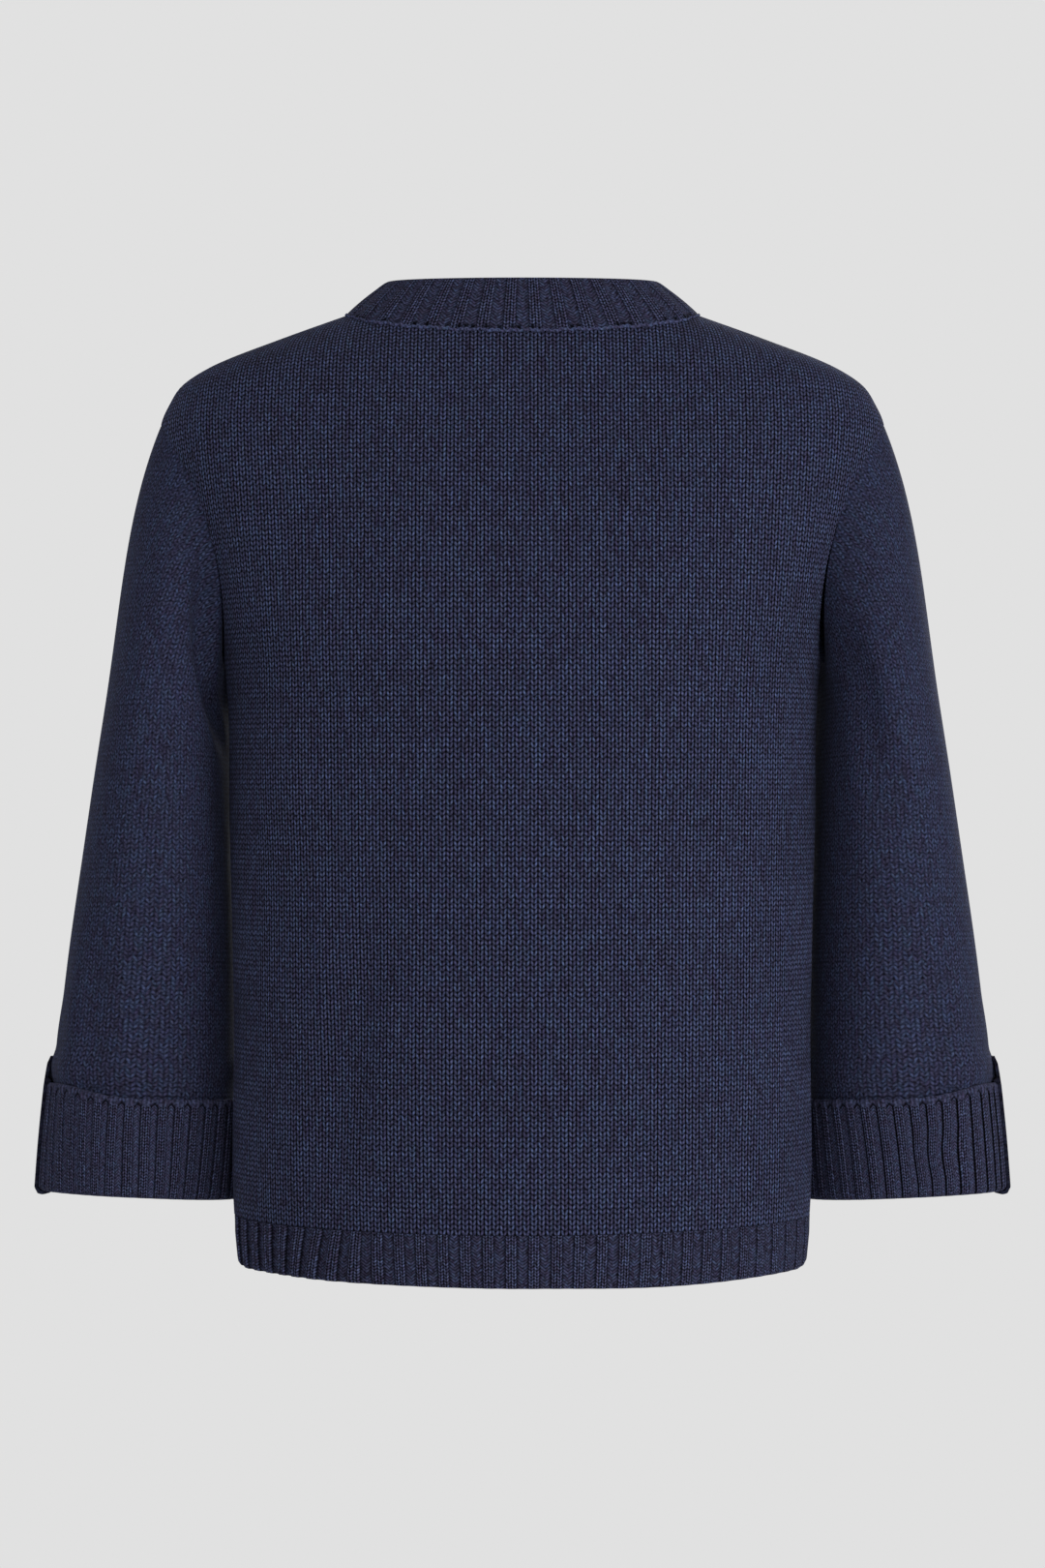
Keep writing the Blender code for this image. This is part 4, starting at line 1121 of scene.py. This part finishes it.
def cuff_cloth(hand):
    outside, inside, length, share = cuff_section()
    columns = CUFF_RIBS * CUFF_COLUMNS
    shares = np.arange(columns + 1) / columns
    turns = ring_turns(CUFF_TOP, shares)
    turns[-1] = 2 * math.pi
    degrees = np.degrees(turns)
    sway = np.sin(turns) * np.sin(length * 55 + turns * 2 + hand)
    down = np.clip(share, 0, 1)
    twist = sum(amount / CUFF_RADIUS * bump((degrees - middle) / reach)
                for which, middle, reach, amount in CUFF_TWISTS if which == hand)
    turn = turns + 0.012 * sway * np.sin(turns / 2) ** 2 + twist * down
    if hand < 0:
        amount, middle, reach = CUFF_KINK
        turn = turn + amount / CUFF_RADIUS * bump((degrees - middle) / reach) * bump((down - 0.6) / 0.3)
    away = ease((np.abs(np.sin(turns / 2)) - 0.28) / 0.46)
    ribbing = shares * CUFF_RIBS
    scallop = 0.35 * MM * np.cos(2 * math.pi * ribbing) * away
    sunk = (CUFF_SINK * away - CUFF_LIFT * (1 - away) + scallop) * (1 - down)
    sunk = sunk + CUFF_DROOP * (1 - np.cos(turns)) / 2 * np.interp(share, (0, 1, 2, 3), (0, 1, 1, 0))
    edge = bump(length / (4.4 * MM))
    bent = np.clip(share - 1, 0, 1)
    fade = 1 - 0.55 * bent + 0.5 * bump((turns - 2.6) / 0.9)
    raised = np.maximum(rib_raise(ribbing, CUFF_RIB_SHARE) * fade, RIB_RAISE * 0.8 * edge)
    raised = raised - 0.9 * MM * bump(length / (1.4 * MM))
    points, way = sleeve_ring(outside[:, :1] - sunk, turn)
    outer = points + way * (outside[:, 1:] + raised * np.cos(math.pi * bent))[..., None]
    points, way = sleeve_ring(inside[:, :1] - sunk, turn)
    inner = points + way * inside[:, 1:, None]
    flip = np.array((hand, 1, 1))
    return outer * flip, inner * flip, joined(rib_stitches(ribbing, CUFF_RIB_SHARE), length / CUFF_COURSE)


def cuff_pattern(hand):
    """The rib of a cuff: a darker line painted as shade on one side of each rib, an even edge that closes the
    gutters, and painted shade along the arch where each gutter ends under it.
    """
    # Painted shade: the line beside each rib is painted darker on the side of the rib turned away from the
    # light, and the two cuffs differ.
    lines = (0.0, 0.5) if hand < 0 else (0.5, 0.2)

    def pattern(wales, courses):
        height, phase = rib_stitch(wales, courses, *lines, 0.74, 0.6)
        from_rib = abs((wales * 0.25).fract() * 4 - 2)
        under = courses - (2.6 - from_rib.smooth(0.9, 1.9) * 1.2)
        # Painted shade in the hollow along the arch where each gutter ends under the top edge.
        arch_shade = from_rib.smooth(0.85, 1.1) * (1 - abs(under).smooth(0.1, 0.9))
        bead = 0.52 - work_out("COSINE", wales * (2 * math.pi)) * 0.16
        on_edge = (under < 0) * (courses < 4)
        height = height * (1 - on_edge) + bead * on_edge
        return height * (1 - arch_shade * 0.8), phase

    return pattern


for name, hand in (("left", 1), ("right", -1)):
    outer, inner, stitches = cuff_cloth(hand)
    look = rib_look(f"navy_cuff_rib_{name}", cuff_pattern(hand), 1.0, 0.6)
    cuff = cloth_wall(f"cuff_{name}_rib", outer, inner, stitches, (look, ribbed_inside), around=True)
    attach(cuff, "root")
    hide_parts(f"cuff_{name}")


# The tabs: flat strips of the same yarn knitted close. Each is sewn to the sleeve above the cuff,
# passes over the cuff's outermost side and round its fold, and holds it up from the inside.
TAB_WIDTH = 22 * MM
TAB_THICKNESS = 2 * MM
TAB_TOP = -441 * MM
TAB_INNER_TOP = -508 * MM
TAB_CLIMB = 7 * MM
TAB_ROWS = 130
TAB_COLUMNS = 24
TAB_COURSE = 2.4 * MM
TAB_WALES = 8
TAB_FILLED = 3.2 * MM           # its underside fills out by this much down to the cuff's top edge


def flat_knit(wales, courses):
    """Close knitting whose legs lie nearly level, with soft grooves between its wales."""
    height, phase = stocking_stitch(wales, courses)
    return height * 0.55 + 0.25, phase


tab_knit = rib_look("navy_close_knit", flat_knit, 0.8, 0.5)


def tab_cloth(hand):
    over = CUFF_SPACE + WALL + RIB_RAISE + SEAM
    under = WALL + SEAM
    bottom = CUFF_FOLD - SEAM
    edge = CUFF_TOP + CUFF_LIFT
    path = np.array(((TAB_TOP, 2.4 * MM), (TAB_TOP - 4 * MM, 3.8 * MM), (edge + TAB_CLIMB, 4.1 * MM),
                     (edge + 3.2 * MM, 4.3 * MM), (edge + 0.5 * MM, 4.4 * MM), (edge - 0.1 * MM, 4.4 * MM),
                     (edge - 1.6 * MM, over), (CUFF_FOLD + 2 * MM, over),
                     (bottom, over * 0.68), (bottom - SEAM, over * 0.3), (bottom, -under * 0.6),
                     (CUFF_FOLD + CUFF_FOLD_THICK + CUFF_ROUND_IN, -under), (TAB_INNER_TOP, -under)))
    ways = unit(np.gradient(path, axis=0))
    upper = path + TAB_THICKNESS * joined(ways[:, 1], -ways[:, 0])
    lengths = running_length(path, 0)
    at = np.linspace(0, lengths[-1], TAB_ROWS)
    path[4, 1] -= TAB_FILLED
    across = np.linspace(-1, 1, TAB_COLUMNS + 1)
    faces = []
    for side in (upper, path):
        line = read_along(at, lengths, side)
        turn = across * TAB_WIDTH / 2 / smooth_table(SLEEVE, "half_depth", line[:, :1])
        points, way = sleeve_ring(line[:, :1], turn)
        faces.append((points + way * line[:, 1:, None]) * (hand, 1, 1))
    return *faces, joined((across + 1) * TAB_WALES / 2, at[:, None] / TAB_COURSE)


for name, hand in (("left", 1), ("right", -1)):
    outer, inner, stitches = tab_cloth(hand)
    tab = cloth_wall(f"tab_{name}_knit", outer, inner, stitches, (tab_knit, tab_knit), block=2)
    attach(tab, "root")
    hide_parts(f"tab_{name}")


# The buttons: six plain dark discs of moulded plastic with a raised rim, on the upper band. Each is
# held in its middle by two short bars of thread, one above the other.
BUTTON_COUNT = 6
BUTTON_FIRST = -60 * MM
BUTTON_LAST = -543 * MM
BUTTON_SIDES = 48
BUTTON_COLOURS = (0.009, 0.010, 0.018, 1), (0.015, 0.016, 0.028, 1)
BUTTON_PROFILE = ((0, 0), (7.6, 0), (8.5, 0.25), (8.9, 0.8), (9.0, 1.5), (8.9, 2.2), (8.5, 2.75), (7.9, 3.0),
                  (7.2, 2.95), (6.5, 2.6), (5.8, 2.2), (4.6, 2.05), (0, 2.0))   # radius and height in mm
THREAD_AWAY = 1.7 * MM          # from the button's middle to each bar of thread
THREAD_RISE = 2.1 * MM
THREAD_RADIUS = 0.75 * MM
THREAD_STRETCH = (3.4, 0.75, 0.7)       # across, up and outwards

button_look, button_shader = new_look("navy_button")
button_place = Signal(button_look.node_tree.nodes.new("ShaderNodeTexCoord").outputs["Object"])
button_cloud = noise(button_place, 260.0, 2.0)
feed(button_shader, Base_Color=mixed(button_cloud, *BUTTON_COLOURS), Roughness=0.32, Specular_IOR_Level=0.3)
thread = knit_look("navy_thread", link_pattern, 0.1 * MM, 1.2)

button_line, button_out, _ = band_line(400)
across = Vector((1, 0, 0))
for index in range(BUTTON_COUNT):
    height = BUTTON_FIRST + (BUTTON_LAST - BUTTON_FIRST) * index / (BUTTON_COUNT - 1)
    seat, way = (Vector(read_along(height, button_line[:, 2], values))
                 for values in (button_line, button_out))
    way.normalize()
    up = way.cross(across)
    seat += way * (LAP + RIB_RAISE + SEAM)
    work = bmesh.new()
    ring = [work.verts.new(across * radius * MM + way * rise * MM) for radius, rise in BUTTON_PROFILE]
    edges = [work.edges.new(ends) for ends in zip(ring, ring[1:])]
    bmesh.ops.spin(work, geom=ring + edges, cent=(0, 0, 0), axis=way, angle=2 * math.pi,
                   steps=BUTTON_SIDES, use_merge=True, use_duplicate=False)
    bmesh.ops.remove_doubles(work, verts=work.verts, dist=1e-6)
    bmesh.ops.recalc_face_normals(work, faces=work.faces)
    bmesh.ops.translate(work, vec=seat, verts=work.verts)
    button = piece_of(mesh_of(work, f"button_{index + 1}_turned"), [button_look])
    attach(button, "root")
    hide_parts(f"button_{index + 1}")

    work = bmesh.new()
    for side in (-1, 1):
        made = bmesh.ops.create_uvsphere(work, u_segments=16, v_segments=10, radius=THREAD_RADIUS)
        middle = seat + up * (side * THREAD_AWAY) + way * THREAD_RISE
        for vert in made["verts"]:
            x, y, z = (part * stretch for part, stretch in zip(vert.co, THREAD_STRETCH))
            vert.co = middle + across * x + up * y + way * z
    thread_uv = work.loops.layers.uv.new("stitches")
    for face in work.faces:
        for loop in face.loops:
            away = (loop.vert.co - seat) / MM
            loop[thread_uv].uv = (away.x, away.y + away.z)
    sewn = piece_of(mesh_of(work, f"button_{index + 1}_thread"), [thread])
    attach(sewn, "root")
